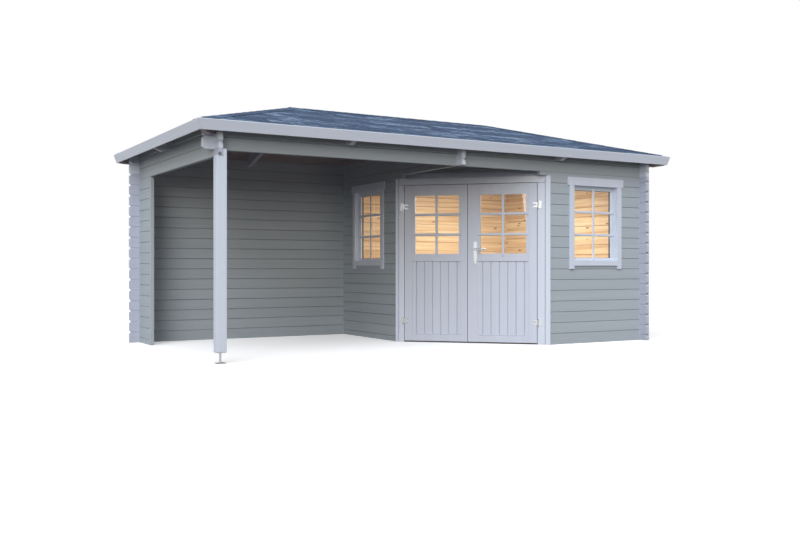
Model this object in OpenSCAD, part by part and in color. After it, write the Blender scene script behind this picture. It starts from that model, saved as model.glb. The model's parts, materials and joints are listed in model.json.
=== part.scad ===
// Garden cabin of interlocking logs with a covered terrace beside it.
// The cabin is the right half of the plan and has its front left corner cut
// off by a slanted door wall. One hipped roof covers the cabin and the terrace.
// Walls are drawn in plan from the left wall's outer face (x) and the front
// wall's outer face (y), and the whole model is centred on its plan at the end.

/* [Plan] */
// Width over the outer faces of the end walls
wall_w = 4990; // [4800:10:6000]
// Depth over the outer faces of the front and back walls
wall_d = 2520; // [2320:10:3050]
// Distance from the left wall's outer face to the cabin's left wall
terrace_w = 2477; // [2050:1:2680]
// Side of the square corner that the slanted door wall cuts off the cabin
corner_leg = 1195; // [1050:5:1300]
// Length of the short wall behind the terrace's open left side
return_l = 462; // [250:1:900]

/* [Logs] */
// Height of one log course
log_h = 114; // [90:1:140]
// Thickness of a log
log_t = 40; // [28:1:60]
// Number of courses below the eaves
courses = 18; // [17:1:20]
// Courses below the beam that spans the terrace front and the door corner
beam_course = 16; // [15:1:17]
// How far log ends stand out past a corner
log_end = 105; // [60:5:150]
// Depth of the V joint between two courses
joint_d = 5; // [2:0.5:8]
// Half height of the V joint on the wall face
joint_r = 5; // [2:0.5:8]
// How far the logs under the beams run on over the door frame's corners
log_lap = 145; // [60:1:180]
// How far the corners of a log's end are cut back
end_cut = 20; // [5:1:40]
// Height of the cut on the corner of a log's end
end_rise = 18; // [5:1:40]

/* [Roof] */
// Pitch of all four slopes in degrees
roof_pitch = 16.25; // [12:0.25:25]
// Plan distance from the wall's outer face to the fascia's top edge
overhang = 218; // [150:1:400]
// Height from the top course to the roof boards at the wall's outer face
eave_rise = 36; // [20:1:80]
// Thickness of the roof boards
board_t = 18; // [16:1:25]
// Thickness of the shingle covering
shingle_t = 6; // [3:1:12]
// Thickness of the strips that cap the ridge and the hips
cap_t = 4; // [2:1:8]
// Width of a cap strip on each side of its ridge or hip
cap_w = 110; // [60:5:160]
// Width of a rafter
rafter_w = 45; // [35:1:80]
// Depth of a rafter
rafter_h = 120; // [90:5:180]
// Length of the slanting cut under a rafter's tail
tail_cut = 55; // [20:5:90]
// Height of the fascia boards
fascia_h = 94; // [70:1:160]
// Thickness of the fascia boards
fascia_t = 20; // [14:1:30]

/* [Door] */
// Distance from the beam over the doorway down to the top of the leaves
door_drop = 112; // [112:1:200]
// Thickness of a door leaf
leaf_t = 44; // [34:1:60]
// Clearance under the door leaves
leaf_rise = 14; // [10:1:25]
// Clearance between a leaf and what it closes against
leaf_gap = 5; // [5:0.5:8]
// Distance of the meeting joint left of the doorway's middle
meet_shift = 23; // [0:1:60]
// Width of a door stile beside the boarded panel
stile_w = 91; // [80:1:130]
// How far the stiles reach in beside the panes
pane_in = 25; // [0:1:40]
// Height of the rail over the door's panes
top_rail_h = 115; // [80:1:140]
// Bottom edge of the door's panes
pane_z = 963; // [850:1:1100]
// Height of the rail under the door's panes
lock_rail_h = 82; // [60:1:140]
// Height of the door's bottom rail
bottom_rail_h = 70; // [60:1:160]
// Depth of the recess in front of the boarded door panel
panel_recess = 10; // [4:1:14]
// Thickness of the boarded door panel
panel_t = 16; // [10:1:20]
// Distance from the slanted wall's left end to the doorway
jamb_left_w = 98; // [90:1:150]
// Distance from the slanted wall's right end to the doorway
jamb_right_w = 137; // [90:1:150]
// Width of the board on the corner left of the door frame
board_left_w = 30; // [24:1:50]
// Width of the board on the corner right of the door frame
board_right_w = 54; // [24:1:60]
// How far the door frame stands out from the slanted wall
frame_proud = 18; // [10:1:25]
// Depth of the door frame behind the slanted wall's outer plane
frame_depth = 72; // [60:1:100]
// Face height of the frame's head
head_h = 70; // [50:1:90]
// Overlap of the frame's rebate behind the leaves
rebate = 20; // [12:1:30]
// Height of the trim board over the door frame
trim_h = 60; // [40:1:90]
// Distance that the wall over the door lies behind the slanted outer plane
header_set = 45; // [20:1:60]

/* [Hinges and handle] */
// Height of a hinge
hinge_h = 78; // [60:1:120]
// Radius of a hinge's barrel
barrel_r = 7; // [5:0.5:10]
// Radius of a hinge's pin
pin_r = 3.5; // [2.5:0.1:5]
// Running clearance round a hinge pin and between its knuckles
hinge_play = 0.3; // [0.2:0.05:0.5]
// Reach of a hinge's strap over the door leaf
strap_l = 42; // [30:1:120]
// Height of the lower hinge's middle
hinge_low_z = 232; // [180:1:400]
// Distance of the upper hinge's middle from the top of the leaves
hinge_high_in = 234; // [150:1:400]
// Height of the handle's spindle
handle_z = 1010; // [900:1:1100]
// Length of the handle's lever
lever_l = 105; // [90:1:140]
// Height of the long handle plate
plate_h = 242; // [200:1:280]
// Width of the long handle plate
plate_w = 38; // [30:1:50]
// Thickness of the long handle plate
plate_t = 8; // [4:1:10]

/* [Windows] */
// Width between a window's side casings
window_w = 615; // [450:5:700]
// Bottom of the clear window over the ground
window_z = 894; // [800:1:1000]
// Distance from the beam over the window down to the clear window
window_drop = 129; // [110:1:300]
// Width of the side casings
casing_w = 62; // [50:1:100]
// Height of the casing over a window
casing_head_h = 88; // [60:1:100]
// How far the head casing reaches past the side casings
casing_ear = 27; // [0:1:40]
// Height of the casing under a window
casing_sill_h = 61; // [40:1:90]
// How far the side casings run down past the clear window
casing_leg = 97; // [60:1:120]
// Thickness of the casings
casing_t = 18; // [12:1:28]
// Thickness of the window's frame boards
frame_t = 22; // [16:1:35]
// Face width of the sash's stiles and top rail
sash_w = 45; // [35:1:70]
// Face width of the sash's bottom rail
sash_foot_w = 24; // [20:1:70]
// Thickness of the sash
sash_t = 40; // [30:1:45]
// Distance of the sash behind the wall's outer face
sash_set = 36; // [10:1:45]
// Thickness of the glass
glass_t = 4; // [3:0.5:8]
// Middle of the front window from the cabin's right wall
front_window_in = 697; // [560:1:800]
// Middle of the terrace window from the back wall's outer face
side_window_in = 686; // [560:1:800]

/* [Post] */
// Side of the square post
post_w = 90; // [70:1:140]
// How far the post stands out left of the left beam's outer face
post_out = 14; // [0:1:40]
// Height of the adjustable steel foot under the post
foot_h = 98; // [60:1:150]
// Radius of the foot's threaded rod
foot_rod_r = 10; // [8:1:16]
// Side of the foot's plates
foot_plate_w = 80; // [60:1:90]
// Thickness of the foot's plates
foot_plate_t = 5; // [4:1:8]

/* [Floor] */
// Height of the floor bearers
bearer_h = 28; // [28:1:60]
// Width of the floor bearers
bearer_w = 45; // [40:1:70]
// Number of floor bearers
bearers = 5; // [4:1:8]
// Thickness of the floor boards
floor_t = 19; // [16:1:28]

/* [Hidden] */
$fn = 48;

log_colour = "#97a29c";
trim_colour = "#b9bfd3";
pine_colour = "#d8b27a";
roof_colour = "#46586b";
steel_colour = "#c9ccd0";
glass_colour = [0.85, 0.9, 0.92, 0.4];
eps = 1;                                  // how far a cut runs past a face
fit = 0.3;                                // clearance of a piece in its seat

wall_h = courses * log_h;                 // height of the whole courses
beam_z = beam_course * log_h;             // underside of the front beam
side_beam_z = beam_z - log_h / 2;         // underside of the beams that cross it
half_d = wall_d / 2;
under_z = wall_h + eave_rise;             // boards' underside at the wall's face
roof_rise = tan(roof_pitch);
ridge_z = under_z + half_d * roof_rise;   // boards' underside at the ridge
rafter_v = rafter_h / cos(roof_pitch);    // depth of a rafter measured plumb
deck_t = board_t + shingle_t;             // boards and covering together
eave_u = (overhang - deck_t * sin(roof_pitch)) / cos(roof_pitch) - fascia_t;
fascia_drop = fascia_h - deck_t;          // fascia below the boards' underside
roof_reach = overhang + 100;              // how far cutting shapes run outside

door_l = corner_leg * sqrt(2);            // length of the slanted wall
mitre = tan(22.5);                        // cut where walls meet at 135 degrees
leaf_top = beam_z - door_drop;
head_top = leaf_top + leaf_gap + head_h;
jamb_right_x = door_l - jamb_right_w;
leaf_x0 = jamb_left_w + leaf_gap;         // hinge edge of the left leaf
meet_x = (jamb_left_w + jamb_right_x) / 2 - meet_shift;
leaf_left_w = meet_x - leaf_gap / 2 - leaf_x0;
leaf_right_w = jamb_right_x - leaf_gap - meet_x - leaf_gap / 2;
leaf_h = leaf_top - leaf_rise;
meet_left_w = stile_w - meet_shift;       // left leaf's stile at the meeting joint
meet_right_w = stile_w + meet_shift;      // and the right leaf's, which laps over
pivot_y = -frame_proud - barrel_r - fit;  // hinge axis off the slanted wall's plane
hinge_high_z = leaf_top - hinge_high_in;
window_h = beam_z - window_drop - window_z;
strap_t = 3;
knuckle_web = 8;                          // strap beside the barrel, full height
reveal_left = 14;                         // grooves beside the corner boards
reveal_right = 4;
hinge_plate_l = 34;                       // hinge plate from the axis outwards
corner_board_out = 2;                     // how far a corner board passes the frame
end_board_t = 18;                         // board on the end of the short wall
trim_t = 14;                              // board over the door frame
spindle_in = 84;                          // spindle from the right leaf's edge
lever_play = 0.5;                         // round the lever in its plates
plate_above = 0.34;                       // share of the plate over the spindle
plate_straight = 0.72;                    // share of the plate before it tapers
plate_foot = 0.4;                         // width of its foot against its own
gable_courses = 8;                        // room for courses over the eaves
strap_bar_h = 15;                         // height of each arm of a strap
knuckle_h = 12;                           // height of a hinge's end knuckles
groove_d = 8;                             // how deep panes and panels are housed
handle_x = meet_x + leaf_gap / 2 + spindle_in;
spindle_r = 4;
lever_r = 9;
lever_out = 46;                           // lever's middle off the plate's face
floor_top = bearer_h + floor_t;

// Point of a slope from its distance u up the boards' underside and height w
function on_slope(u, w) = [
    u * cos(roof_pitch) - w * sin(roof_pitch),
    under_z + u * sin(roof_pitch) + w * cos(roof_pitch)
];
// Height of the boards' underside over a point a inside the wall's outer face
function under_at(a) = under_z + a * roof_rise;
// Heights of the joints between z0 and z1, for courses shifted by a half log
function joints(z0, z1, shift) = [
    for (n = [0 : courses + gable_courses])
        let (z = (n + shift) * log_h)
        if (z > z0 + joint_r && z < z1 - joint_r) z
];
function flat(list) = [for (part = list) for (item = part) item];
function reversed(list) = [for (i = [len(list) - 1 : -1 : 0]) list[i]];

// ---- Placing ------------------------------------------------------------

// Stands an outline of depth and height up and runs it along x
module along_x(x0, x1) {
    translate([x0, 0, 0]) rotate([90, 0, 90])
        linear_extrude(x1 - x0) children();
}

// Stands an outline of length and height up and gives it a thickness along y
module across_y(y0, y1) {
    translate([0, y1, 0]) rotate([90, 0, 0])
        linear_extrude(y1 - y0) children();
}

// Carries what is drawn for the front side to the named side of the plan
module to_side(side) {
    if (side == "front") children();
    if (side == "back") translate([0, wall_d, 0]) mirror([0, 1, 0]) children();
    if (side == "left") mirror([1, -1, 0]) children();
    if (side == "right")
        translate([wall_w, 0, 0]) mirror([1, 0, 0]) mirror([1, -1, 0]) children();
}

function side_length(side) =
    (side == "front" || side == "back") ? wall_w : wall_d;

// Carries what is drawn along the slanted wall to its place; y points inwards
module to_corner() {
    translate([terrace_w, corner_leg, 0]) rotate([0, 0, -45]) children();
}

// Centres the plan on the origin
module centred() {
    translate([-wall_w / 2, -wall_d / 2, 0]) children();
}

// ---- Logs ---------------------------------------------------------------

// Cross-section of a log wall: depth and height, with V joints on both faces
module log_section(z0, z1, shift) {
    zs = joints(z0, z1, shift);
    outer = flat([for (z = zs)
        [[0, z - joint_r], [joint_d, z], [0, z + joint_r]]]);
    inner = flat([for (z = reversed(zs))
        [[log_t, z + joint_r], [log_t - joint_d, z], [log_t, z - joint_r]]]);
    polygon(concat([[0, z0]], outer, [[0, z1], [log_t, z1]], inner,
        [[log_t, z0]]));
}

// Elevation of a log wall, with the corners of standing-out ends cut back
module log_elevation(x0, x1, z0, z1, shift, cut0, cut1) {
    zs = joints(z0, z1, shift);
    left = cut0 ? flat([for (z = reversed(zs))
        [[x0, z + end_rise], [x0 + end_cut, z], [x0, z - end_rise]]]) : [];
    right = cut1 ? flat([for (z = zs)
        [[x1, z - end_rise], [x1 - end_cut, z], [x1, z + end_rise]]]) : [];
    polygon(concat([[x0, z0], [x1, z0]], right, [[x1, z1], [x0, z1]], left));
}

// A run of logs in the front wall's place, before it is notched
module log_run(x0, x1, z0, z1, shift, cut0 = false, cut1 = false) {
    intersection() {
        along_x(x0, x1) log_section(z0, z1, shift);
        across_y(0, log_t) log_elevation(x0, x1, z0, z1, shift, cut0, cut1);
    }
}

// Blocks held by the logs of the front and back walls
module long_crossing(x, y, first) {
    for (n = [first : courses - 1])
        translate([x, y, (n + 0.25) * log_h]) cube([log_t, log_t, log_h / 2]);
}

// Blocks held by the logs of the walls that run from front to back
module cross_crossing(x, y, first) {
    if (first == 0)
        translate([x, y, -eps]) cube([log_t, log_t, log_h / 4 + eps]);
    for (k = [max(first, 1) : courses - 1])
        translate([x, y, (k - 0.25) * log_h]) cube([log_t, log_t, log_h / 2]);
    translate([x, y, (courses - 0.25) * log_h]) cube([log_t, log_t, 2 * log_h]);
}

// All the space below a surface a height v above the roof boards' underside
module under_roof(v = -fit) {
    eave_z = under_at(-roof_reach) + v;
    intersection() {
        along_x(-roof_reach, wall_w + roof_reach) polygon([
            [-roof_reach, -eps], [wall_d + roof_reach, -eps],
            [wall_d + roof_reach, eave_z], [half_d, ridge_z + v],
            [-roof_reach, eave_z]
        ]);
        across_y(-roof_reach, wall_d + roof_reach) polygon([
            [-roof_reach, -eps], [wall_w + roof_reach, -eps],
            [wall_w + roof_reach, eave_z], [wall_w - half_d, ridge_z + v],
            [half_d, ridge_z + v], [-roof_reach, eave_z]
        ]);
    }
}

// Opening for a window whose middle is at x along the wall
module window_hole(x) {
    side = frame_t + fit;
    translate([x - window_w / 2 - side, -eps, window_z - side])
        cube([window_w + 2 * side, log_t + 2 * eps, window_h + 2 * side]);
}

top_z = under_at(log_t) + eps;            // above the bevelled top of any wall
right_in = wall_w - log_t;                // right wall's inner face
back_in = wall_d - log_t;                 // back wall's inner face
front_window_x = wall_w - front_window_in;
side_window_x = wall_d - side_window_in;

module back_wall() {
    color(log_colour) difference() {
        intersection() {
            to_side("back")
                log_run(-log_end, wall_w + log_end, 0, top_z, 0, true, true);
            under_roof();
        }
        for (x = [0, terrace_w, right_in]) cross_crossing(x, back_in, 0);
        common_rafters();
        hip_rafters();
    }
}

module right_wall() {
    color(log_colour) difference() {
        intersection() {
            to_side("right")
                log_run(-log_end, wall_d + log_end, 0, top_z, 0.5, true, true);
            under_roof();
        }
        for (y = [0, back_in]) long_crossing(right_in, y, 0);
        side_rafters();
        hip_rafters();
    }
}

module front_wall() {
    left_x = terrace_w + corner_leg;
    lap_z = head_top + fit;               // the top log runs on above the frame
    color(log_colour) {
        difference() {
            log_run(left_x, wall_w + log_end, 0, beam_z, 0, false, true);
            cross_crossing(right_in, 0, 0);
            window_hole(front_window_x);
            linear_extrude(lap_z) polygon([
                [left_x - eps, -eps], [left_x + fit - eps * mitre, -eps],
                [left_x + fit + (log_t + eps) * mitre, log_t + eps],
                [left_x - eps, log_t + eps]
            ]);
        }
        translate([left_x - log_lap, 0, lap_z])
            cube([log_lap + log_t, log_t, beam_z - lap_z]);
    }
}

module front_beam() {
    color(log_colour) difference() {
        intersection() {
            log_run(-log_end, wall_w + log_end, beam_z, top_z, 0, true, true);
            under_roof();
        }
        for (x = [0, terrace_w, right_in]) cross_crossing(x, 0, beam_course);
        common_rafters();
        hip_rafters();
    }
}

// The short wall that closes the terrace's left side at the back
module left_wall() {
    color(log_colour) difference() {
        to_side("left") log_run(wall_d - return_l, wall_d + log_end, 0,
            side_beam_z, 0.5, false, true);
        long_crossing(0, back_in, 0);
    }
}

module left_wall_end_board() {
    color(trim_colour)
        translate([0, wall_d - return_l - end_board_t, 0])
            cube([log_t, end_board_t, side_beam_z]);
}

module left_beam() {
    color(log_colour) difference() {
        intersection() {
            to_side("left") log_run(-log_end, wall_d + log_end, side_beam_z,
                top_z, 0.5, true, true);
            under_roof();
        }
        long_crossing(0, 0, beam_course);
        long_crossing(0, back_in, beam_course - 1);
        side_rafters();
        hip_rafters();
    }
}

// The wall between terrace and cabin, below the logs that reach the front
module cabin_left_wall() {
    color(log_colour) difference() {
        translate([terrace_w, 0, 0]) to_side("left") difference() {
            log_run(corner_leg, wall_d + log_end, 0, side_beam_z, 0.5, false, true);
            window_hole(side_window_x);
        }
        long_crossing(terrace_w, back_in, 0);
        linear_extrude(side_beam_z + eps) corner_mitre();
    }
}

// What the slanted wall cuts off the front end of the cabin's left wall
module corner_mitre() {
    polygon([
        [terrace_w - eps, corner_leg - eps],
        [terrace_w - eps, corner_leg + fit - eps * mitre],
        [terrace_w + log_t + eps, corner_leg + fit + (log_t + eps) * mitre],
        [terrace_w + log_t + eps, corner_leg - eps]
    ]);
}

// Logs over that wall, which run on to the front beam, and the gable on them
module cabin_left_beam() {
    low_z = side_beam_z - eps;
    lap_y = corner_leg - log_lap;         // below the beams only as far as this
    color(log_colour) difference() {
        intersection() {
            translate([terrace_w, 0, 0]) to_side("left")
                log_run(-log_end, wall_d + log_end, side_beam_z,
                    ridge_z + eps, 0.5, true, true);
            under_roof();
        }
        long_crossing(terrace_w, 0, beam_course);
        long_crossing(terrace_w, back_in, beam_course - 1);
        translate([terrace_w - eps, -log_end - eps, low_z])
            cube([log_t + 2 * eps, log_end + lap_y + eps, beam_z - low_z]);
        translate([0, 0, low_z]) linear_extrude(head_top + fit - low_z) {
            translate([terrace_w - eps, lap_y - eps])
                square([log_t + 2 * eps, log_lap + eps]);
            corner_mitre();
        }
        ridge_beam_block(2 * rafter_v);
    }
}

// ---- Slanted door wall --------------------------------------------------

// Plan of a piece of the slanted wall between two depths, mitred at both ends
module corner_strip(y0, y1) {
    polygon([
        [y0 * mitre, y0], [door_l - y0 * mitre, y0],
        [door_l - y1 * mitre, y1], [y1 * mitre, y1]
    ]);
}

// Space inside the two walls, and the beams on them, beside the slanted wall
module inner_corner() {
    side = corner_leg + 2 * log_t;
    translate([terrace_w + log_t, log_t, head_top - eps])
        cube([side, side, ridge_z]);
}

// Logs over the door, up to the roof boards
module door_header() {
    color(log_colour) difference() {
        intersection() {
            to_corner() translate([0, header_set, 0])
                along_x(-header_set - log_t, door_l + header_set + log_t)
                    log_section(head_top, ridge_z, 0.5);
            inner_corner();
            under_roof();
        }
        common_rafters();
        ridge_beam_block(2 * rafter_v);
    }
}

// Painted board along the foot of the header, between the two beams
module door_trim_board() {
    color(trim_colour) intersection() {
        to_corner() translate([0, header_set - trim_t, head_top])
            cube([door_l, trim_t, trim_h]);
        inner_corner();
    }
}

// Plan of a jamb of width w whose face starts at a distance from the wall's end
module door_jamb_plan(w, start) {
    stop_y = leaf_t - frame_proud + leaf_gap;
    polygon([
        [0, 0], [start, 0], [start, -frame_proud], [w, -frame_proud], [w, stop_y],
        [w + rebate, stop_y], [w + rebate, frame_depth],
        [frame_depth * mitre, frame_depth]
    ]);
}

module door_jamb_left() {
    color(trim_colour) to_corner() linear_extrude(leaf_top + leaf_gap)
        door_jamb_plan(jamb_left_w, board_left_w + reveal_left);
}

module door_jamb_right() {
    color(trim_colour) to_corner() translate([door_l, 0, 0]) mirror([1, 0, 0])
        linear_extrude(leaf_top + leaf_gap)
            door_jamb_plan(jamb_right_w, board_right_w + reveal_right);
}

// Space between the jambs, the rebates left out by in at each side
module between_jambs(in, y0, y1, z0, z1) {
    translate([jamb_left_w + in, y0, z0])
        cube([jamb_right_x - jamb_left_w - 2 * in, y1 - y0, z1 - z0]);
}

// Head of the door frame, with the rebate that the leaves close against
module door_head() {
    z0 = leaf_top + leaf_gap;
    left = board_left_w + reveal_left;
    right = board_right_w + reveal_right;
    color(trim_colour) to_corner() {
        translate([left, -frame_proud, z0])
            cube([door_l - left - right, frame_proud, head_h]);
        translate([0, 0, z0]) linear_extrude(head_h)
            corner_strip(0, frame_depth);
        between_jambs(rebate, leaf_t - frame_proud + leaf_gap, frame_depth,
            z0 - rebate, z0);
    }
}

// Sill under the leaves, raised behind them to the floor's height
module door_threshold() {
    step_y = leaf_t - frame_proud + leaf_gap;
    color(pine_colour) to_corner() {
        between_jambs(0, -frame_proud, step_y, 0, leaf_rise - leaf_gap);
        between_jambs(rebate, step_y, frame_depth, 0, floor_top);
    }
}

module corner_boards() {
    color(trim_colour) to_corner()
        for (board = [[0, board_left_w], [door_l - board_right_w, board_right_w]])
            translate([board[0], -frame_proud - corner_board_out, 0])
                cube([board[1], frame_proud + corner_board_out, head_top]);
}

// ---- Door leaves --------------------------------------------------------

// Where a pane or a panel is housed in a leaf of width w
module leaf_housing(w, s0, s1, z0, z1, y0, y1) {
    translate([s0 - groove_d, y0, z0 - groove_d])
        cube([w - s0 - s1 + 2 * groove_d, y1 - y0, z1 - z0 + 2 * groove_d]);
}

panel_z0 = leaf_rise + bottom_rail_h;
panel_z1 = pane_z - lock_rail_h;
pane_top = leaf_top - top_rail_h;
panel_y0 = panel_recess - frame_proud;
pane_y0 = (leaf_t - glass_t) / 2 - frame_proud;

module leaf_panel(w, s0, s1) {
    leaf_housing(w, s0, s1, panel_z0, panel_z1, panel_y0, panel_y0 + panel_t);
}

module leaf_glass(w, s0, s1) {
    leaf_housing(w, s0 + pane_in, s1 + pane_in, pane_z, pane_top, pane_y0,
        pane_y0 + glass_t);
}

// A leaf with stiles of width s0 and s1, drawn from its lower left corner
module leaf_frame(w, s0, s1) {
    clear_w = w - s0 - s1;
    difference() {
        translate([0, -frame_proud, leaf_rise]) cube([w, leaf_t, leaf_h]);
        translate([s0, -frame_proud - eps, panel_z0])
            cube([clear_w, leaf_t + 2 * eps, panel_z1 - panel_z0]);
        translate([s0 + pane_in, -frame_proud - eps, pane_z])
            cube([clear_w - 2 * pane_in, leaf_t + 2 * eps, pane_top - pane_z]);
        leaf_panel(w, s0, s1);
        leaf_glass(w, s0, s1);
    }
}

module at_left_leaf() {
    to_corner() translate([leaf_x0, 0, 0]) children();
}

module at_right_leaf() {
    to_corner() translate([meet_x + leaf_gap / 2, 0, 0]) children();
}

module door_left_leaf() {
    color(trim_colour) at_left_leaf()
        leaf_frame(leaf_left_w, stile_w, meet_left_w);
}

module door_left_panel() {
    color(trim_colour) at_left_leaf() leaf_panel(leaf_left_w, stile_w, meet_left_w);
}

module door_left_glass() {
    color(glass_colour) at_left_leaf() leaf_glass(leaf_left_w, stile_w, meet_left_w);
}

module door_right_leaf() {
    color(trim_colour) difference() {
        at_right_leaf() leaf_frame(leaf_right_w, meet_right_w, stile_w);
        to_corner() translate([handle_x, -frame_proud - eps, handle_z])
            rotate([-90, 0, 0])
                cylinder(r = spindle_r + leaf_gap / 2, h = leaf_t + 2 * eps);
    }
}

module door_right_panel() {
    color(trim_colour) at_right_leaf()
        leaf_panel(leaf_right_w, meet_right_w, stile_w);
}

module door_right_glass() {
    color(glass_colour) at_right_leaf()
        leaf_glass(leaf_right_w, meet_right_w, stile_w);
}

// ---- Hinges and handle --------------------------------------------------

// Carries what is drawn round a hinge axis to both heights of one side
module at_hinges(side) {
    for (z = [hinge_low_z, hinge_high_z]) to_corner()
        translate([side == "left" ? jamb_left_w : jamb_right_x, 0, z])
            mirror([side == "left" ? 0 : 1, 0, 0])
                translate([-barrel_r, pivot_y, -hinge_h / 2]) children();
}

// Knuckle with its strap of two arms that lies on the leaf
module strap_hinge() {
    body_z0 = knuckle_h + hinge_play;
    body_h = hinge_h - 2 * body_z0;
    reach = barrel_r + leaf_gap + strap_l;
    face_y = barrel_r - strap_t;
    difference() {
        union() {
            translate([0, 0, body_z0]) cylinder(r = barrel_r, h = body_h);
            for (z = [body_z0, body_z0 + body_h - strap_bar_h])
                translate([0, face_y, z]) cube([reach, strap_t, strap_bar_h]);
            translate([0, face_y, body_z0])
                cube([barrel_r + knuckle_web, strap_t, body_h]);
        }
        translate([0, 0, -eps])
            cylinder(r = pin_r + hinge_play, h = hinge_h + 2 * eps);
    }
}

// Pin, end knuckles and the plate that holds them to the jamb
module jamb_hinge() {
    face_y = barrel_r - strap_t;
    cylinder(r = pin_r, h = hinge_h);
    for (z = [0, hinge_h - knuckle_h]) {
        translate([0, 0, z]) cylinder(r = barrel_r, h = knuckle_h);
        translate([-hinge_plate_l, face_y, z])
            cube([hinge_plate_l, strap_t, knuckle_h]);
    }
    translate([-hinge_plate_l, face_y, 0])
        cube([hinge_plate_l - barrel_r - hinge_play, strap_t, hinge_h]);
}

module frame_hinges() {
    color(steel_colour) {
        at_hinges("left") jamb_hinge();
        at_hinges("right") jamb_hinge();
    }
}

module door_left_hinges() {
    color(steel_colour) at_hinges("left") strap_hinge();
}

module door_right_hinges() {
    color(steel_colour) at_hinges("right") strap_hinge();
}

// Outline of the long plate, round at the top and drawn in at the foot
module plate_outline() {
    r = plate_w / 2;
    foot = r * plate_foot;
    top = plate_h * plate_above;
    taper_z = top - plate_h * plate_straight;
    translate([0, top - r]) circle(r);
    polygon([
        [-r, top - r], [-r, taper_z], [-foot, top - plate_h],
        [foot, top - plate_h], [r, taper_z], [r, top - r]
    ]);
}

// A plate on each face of the right leaf
module door_lock_plates() {
    color(steel_colour) to_corner() difference() {
        for (y = [-frame_proud - plate_t, leaf_t - frame_proud])
            translate([handle_x, y + plate_t, handle_z]) rotate([90, 0, 0])
                linear_extrude(plate_t) plate_outline();
        translate([handle_x, -frame_proud - plate_t - eps, handle_z])
            rotate([-90, 0, 0])
                cylinder(r = lever_r + lever_play, h = leaf_t + 2 * (plate_t + eps));
    }
}

// Spindle with a lever at each end
module door_handle() {
    out_y = frame_proud + plate_t + lever_out;
    in_y = leaf_t - frame_proud + plate_t + lever_out;
    color(steel_colour) to_corner() translate([handle_x, 0, handle_z]) {
        translate([0, -out_y, 0]) rotate([-90, 0, 0])
            cylinder(r = spindle_r, h = out_y + in_y);
        for (y = [[-out_y, -frame_proud], [leaf_t - frame_proud, in_y]])
            translate([0, y[0], 0]) rotate([-90, 0, 0])
                cylinder(r = lever_r, h = y[1] - y[0]);
        for (y = [-out_y, in_y]) translate([0, y, 0]) {
            sphere(r = lever_r);
            rotate([0, 90, 0]) cylinder(r = lever_r, h = lever_l - lever_r);
            translate([lever_l - lever_r, 0, 0]) sphere(r = lever_r);
        }
    }
}

// ---- Windows ------------------------------------------------------------

// Window pieces are drawn round x = 0 on a wall whose outer face is y = 0
module window_casing() {
    half = window_w / 2;
    top = window_z + window_h;
    across_y(-casing_t, 0) difference() {
        polygon([
            [-half - casing_w, window_z - casing_leg],
            [-half, window_z - casing_leg], [-half, window_z - casing_sill_h],
            [half, window_z - casing_sill_h], [half, window_z - casing_leg],
            [half + casing_w, window_z - casing_leg],
            [half + casing_w, top], [half + casing_w + casing_ear, top],
            [half + casing_w + casing_ear, top + casing_head_h],
            [-half - casing_w - casing_ear, top + casing_head_h],
            [-half - casing_w - casing_ear, top], [-half - casing_w, top]
        ]);
        translate([-half, window_z]) square([window_w, window_h]);
    }
}

frame_back = sash_set + sash_t;           // inner end of a window's frame

module window_frame() {
    difference() {
        translate([-window_w / 2 - frame_t, 0, window_z - frame_t])
            cube([window_w + 2 * frame_t, frame_back, window_h + 2 * frame_t]);
        translate([-window_w / 2, -eps, window_z])
            cube([window_w, frame_back + 2 * eps, window_h]);
    }
}

sash_out_w = window_w - 2 * fit;
sash_in_w = sash_out_w - 2 * sash_w;
sash_z0 = window_z + fit + sash_foot_w;
sash_z1 = window_z + window_h - fit - sash_w;
glass_y0 = sash_set + (sash_t - glass_t) / 2;

module window_glass() {
    translate([-sash_in_w / 2 - groove_d, glass_y0, sash_z0 - groove_d])
        cube([sash_in_w + 2 * groove_d, glass_t, sash_z1 - sash_z0 + 2 * groove_d]);
}

module window_sash() {
    difference() {
        translate([-sash_out_w / 2, sash_set, window_z + fit])
            cube([sash_out_w, sash_t, window_h - 2 * fit]);
        translate([-sash_in_w / 2, sash_set - eps, sash_z0])
            cube([sash_in_w, sash_t + 2 * eps, sash_z1 - sash_z0]);
        window_glass();
    }
}

module at_front_window() {
    translate([front_window_x, 0, 0]) children();
}

module at_side_window() {
    translate([terrace_w, 0, 0]) to_side("left")
        translate([side_window_x, 0, 0]) children();
}

module front_window_casing() { color(trim_colour) at_front_window() window_casing(); }
module front_window_frame() { color(trim_colour) at_front_window() window_frame(); }
module front_window_sash() { color(trim_colour) at_front_window() window_sash(); }
module front_window_glass() { color(glass_colour) at_front_window() window_glass(); }
module side_window_casing() { color(trim_colour) at_side_window() window_casing(); }
module side_window_frame() { color(trim_colour) at_side_window() window_frame(); }
module side_window_sash() { color(trim_colour) at_side_window() window_sash(); }
module side_window_glass() { color(glass_colour) at_side_window() window_glass(); }

// ---- Post ---------------------------------------------------------------

post_y = -log_end + 5;                    // front face of the post

// Square post, notched where the left beam's end rests on it
module post() {
    color(trim_colour) difference() {
        translate([-post_out, post_y, foot_h])
            cube([post_w, post_w, beam_z - foot_h]);
        translate([-post_out - eps, post_y - eps, side_beam_z])
            cube([post_out + log_t + eps + fit, post_w + 2 * eps, log_h]);
    }
}

module post_foot() {
    centre = post_w / 2;
    color(steel_colour) translate([centre - post_out, post_y + centre, 0]) {
        for (z = [0, foot_h - foot_plate_t])
            translate([-foot_plate_w / 2, -foot_plate_w / 2, z])
                cube([foot_plate_w, foot_plate_w, foot_plate_t]);
        cylinder(r = foot_rod_r, h = foot_h);
    }
}

// ---- Roof ---------------------------------------------------------------

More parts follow.
